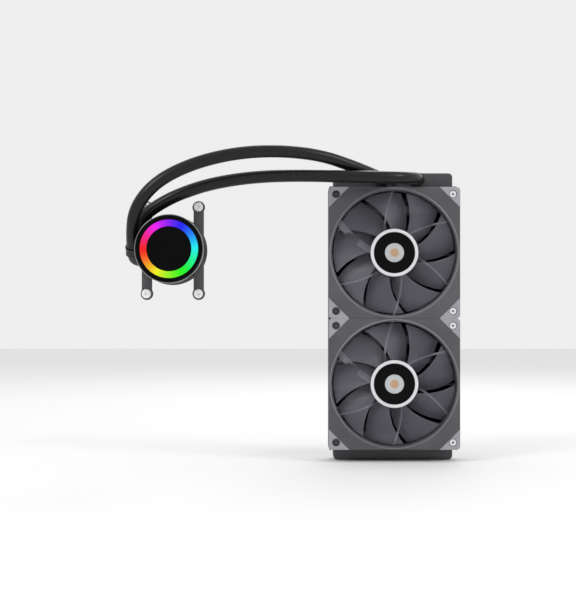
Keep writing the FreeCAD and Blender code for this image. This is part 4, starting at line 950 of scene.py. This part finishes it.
def bent_neck(way):
    """A closed round neck from the port outwards, bent at the elbow's middle towards way."""
    back = Vector((-1, 0, 0))
    axis = back.cross(way).normalized()
    bend = back.angle(way)
    radius = ELBOW_BALL + 0.1
    tangent = radius * math.tan(bend / 2)
    run_in = ELBOW_OUT - BASE_FLAT - WASHER
    work = bmesh.new()
    bmesh.ops.create_circle(work, cap_ends=True, radius=ELBOW_STEM, segments=48)
    placed(work, Matrix.Rotation(-math.pi / 2, 4, "Y"), Matrix.Translation((run_in, 0, 0)))
    ring = stretch(work, work.edges[:], back * (run_in - tangent))
    towards = axis.cross(back).normalized()
    centre = Vector((tangent, 0, 0)) + towards * radius
    spun = bmesh.ops.spin(work, geom=ring, axis=axis, cent=centre, angle=bend, steps=16)
    last = [item for item in spun["geom_last"] if isinstance(item, bmesh.types.BMEdge)]
    ring = stretch(work, last, way * max(0.05, ELBOW_NECK - tangent))
    bmesh.ops.holes_fill(work, edges=ring, sides=0)
    bmesh.ops.recalc_face_normals(work, faces=work.faces)
    return work


def barb(way):
    """The ridged end that goes into the hose."""
    corners = [(BARB_BORE, ELBOW_NECK - 1), (ELBOW_COLLAR, ELBOW_NECK - 1), (ELBOW_COLLAR, ELBOW_NECK)]
    turn = Vector((0, 0, 1)).rotation_difference(way).to_matrix().to_4x4()
    return placed(turned(corners + ridged(ELBOW_NECK, ELBOW_TIP), 48), turn)


for name, way in ELBOW_WAY.items():
    stem = turned([(BARB_BORE, 0), (PORT_RADIUS, 0), (PORT_RADIUS, PORT_DEEP),
                   (BARB_BORE, PORT_DEEP)], 48)
    stem = placed(stem, Matrix.Rotation(math.pi / 2, 4, "Y"),
                  Matrix.Translation((ELBOW_OUT - BASE_FLAT - WASHER, 0, 0)))
    elbow = together(bent_neck(way), barb(way), stem)
    set_down(placed(elbow, Matrix.Translation(ELBOW_CENTRE[name])), f"{name}_moulded_elbow", AT_PUMP,
             pump_plastic, "loop", "pump_plastic", f"{name}_swivel_elbow")

# Mounting bracket
# A pressed steel bracket under grey paint: a collar round the pump's base and two upright
# arms with round ends, which reach the four screw posts of the processor socket.
ARM_LOW = 5.5
ARM_THICK = 2.6
ARM_HALF = 5.4
ARM_END = 6.6
SOCKET_ACROSS = 27.0
SOCKET_UP = 45.0
SCREW_ROOM = 2.0
COLLAR_OUTER = 36.0
bracket_paint = finish("bracket_paint", tone(76, 76, 80), 0.38, drift=0.12, patch=20, depth=0.015)


def arm(side):
    """One upright arm with a rounded end round each screw hole."""
    lean = math.degrees(math.asin(ARM_HALF / ARM_END))
    middle = Vector((side * SOCKET_ACROSS, 0, 0))
    top = middle + Vector((0, SOCKET_UP, 0))
    bottom = middle - Vector((0, SOCKET_UP, 0))
    outline = arc_points(top, ARM_END, lean - 90, 270 - lean, 28)
    outline += arc_points(bottom, ARM_END, 90 + lean, 450 - lean, 28)
    holes = [hole(middle.x, height, SCREW_ROOM, 32) for height in (SOCKET_UP, -SOCKET_UP)]
    return plate(outline, holes, ARM_LOW, ARM_LOW + ARM_THICK, 0.45)


COLLAR_SECTION = [(BASE_RADIUS + 0.15, ARM_LOW + 1.9), (BASE_RADIUS + 0.15, ARM_LOW + ARM_THICK - 0.5),
                  (BASE_RADIUS + 0.4, ARM_LOW + ARM_THICK - 0.25),
                  (COLLAR_OUTER - 0.5, ARM_LOW + ARM_THICK - 0.25),
                  (COLLAR_OUTER, ARM_LOW + ARM_THICK - 0.7), (COLLAR_OUTER, ARM_LOW + 0.7),
                  (COLLAR_OUTER - 0.5, ARM_LOW + 0.25), (31.8, ARM_LOW + 0.25)]
set_down(together(arm(1), arm(-1), turned(COLLAR_SECTION, 128)), "painted_bracket", AT_PUMP,
         bracket_paint, "loop", "bracket_paint", "mounting_bracket")

# Sprung screws
# Four bright screws stand through the bracket's arms into the socket's posts. A coil spring
# under each head presses the cold plate down, and a washer keeps the screw in its arm.
STUD_RADIUS = 1.75
STUD_LOW = -13.0
CLIP_RADIUS = 3.4
CLIP_LOW = 4.6
CLIP_HIGH = 5.4
SPRUNG_LOW = 13.4
SPRUNG_FRONT = 16.6
SPRUNG_RADIUS = 4.7
SPRING_RADIUS = 3.0
SPRING_WIRE = 0.35
SPRING_TURNS = 3
TURN_STEPS = 32
# The nickel heads are near-white and hardly metallic: the shine of the plating is painted into their
# colour as painted sheen.
nickel_painted_sheen = finish("nickel_painted_sheen", tone(240, 240, 242), 0.34, metallic=0.15, drift=0.02, depth=0.001)
spring_steel = finish("spring_steel", tone(170, 170, 174), 0.25, metallic=1.0, drift=0.05, depth=0.003)
SPRUNG_SOCKET = 1.5
SPRUNG_SECTION = [(0, STUD_LOW), (STUD_RADIUS - 0.5, STUD_LOW), (STUD_RADIUS, STUD_LOW + 0.6),
                  (STUD_RADIUS, CLIP_LOW), (CLIP_RADIUS, CLIP_LOW), (CLIP_RADIUS, CLIP_HIGH),
                  (STUD_RADIUS, CLIP_HIGH), (STUD_RADIUS, SPRUNG_LOW), (SPRUNG_RADIUS, SPRUNG_LOW),
                  (SPRUNG_RADIUS, SPRUNG_FRONT - 0.9), (SPRUNG_RADIUS - 0.25, SPRUNG_FRONT - 0.3),
                  (SPRUNG_RADIUS - 0.9, SPRUNG_FRONT), (SPRUNG_SOCKET + 0.2, SPRUNG_FRONT),
                  (SPRUNG_SOCKET, SPRUNG_FRONT - 0.2), (SPRUNG_SOCKET, SPRUNG_FRONT - 1.4),
                  (0, SPRUNG_FRONT - 1.4)]


def coil(low, high):
    """One unbroken coil of round wire: a small ring carried up a helix and capped."""
    steps = SPRING_TURNS * TURN_STEPS
    work = bmesh.new()
    made = bmesh.ops.create_circle(work, cap_ends=True, radius=SPRING_WIRE, segments=10)
    bmesh.ops.rotate(work, verts=made["verts"], cent=(0, 0, 0),
                     matrix=Matrix.Rotation(math.pi / 2, 3, "X"))
    bmesh.ops.translate(work, verts=made["verts"], vec=(SPRING_RADIUS, 0, low))
    ring = work.edges[:]
    climb = (high - low) / steps
    for _ in range(steps):
        spun = bmesh.ops.spin(work, geom=ring, axis=(0, 0, 1), cent=(0, 0, 0), dvec=(0, 0, climb),
                              angle=2 * math.pi / TURN_STEPS, steps=1)
        ring = [item for item in spun["geom_last"] if isinstance(item, bmesh.types.BMEdge)]
    bmesh.ops.holes_fill(work, edges=ring, sides=0)
    bmesh.ops.recalc_face_normals(work, faces=work.faces)
    return work


arm_top = ARM_LOW + ARM_THICK
socket_places = [(x * SOCKET_ACROSS, y * SOCKET_UP) for y in (1, -1) for x in (1, -1)]
for index, (across, up) in enumerate(socket_places, start=1):
    here = Matrix.Translation((across, up, 0))
    screw_skin = hexed(turned(SPRUNG_SECTION, 48), SPRUNG_SOCKET)
    set_down(placed(screw_skin, here), f"sprung_screw_{index}", AT_PUMP, nickel_painted_sheen,
             f"bracket_screw_{index}", "screw_bright", f"bracket_screw_{index}")
    wire = coil(arm_top + SPRING_WIRE, SPRUNG_LOW - SPRING_WIRE)
    spring = set_down(placed(wire, here), f"coil_spring_{index}", AT_PUMP, spring_steel, "loop",
                      "spring_steel", f"bracket_spring_{index}")
    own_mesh(spring)
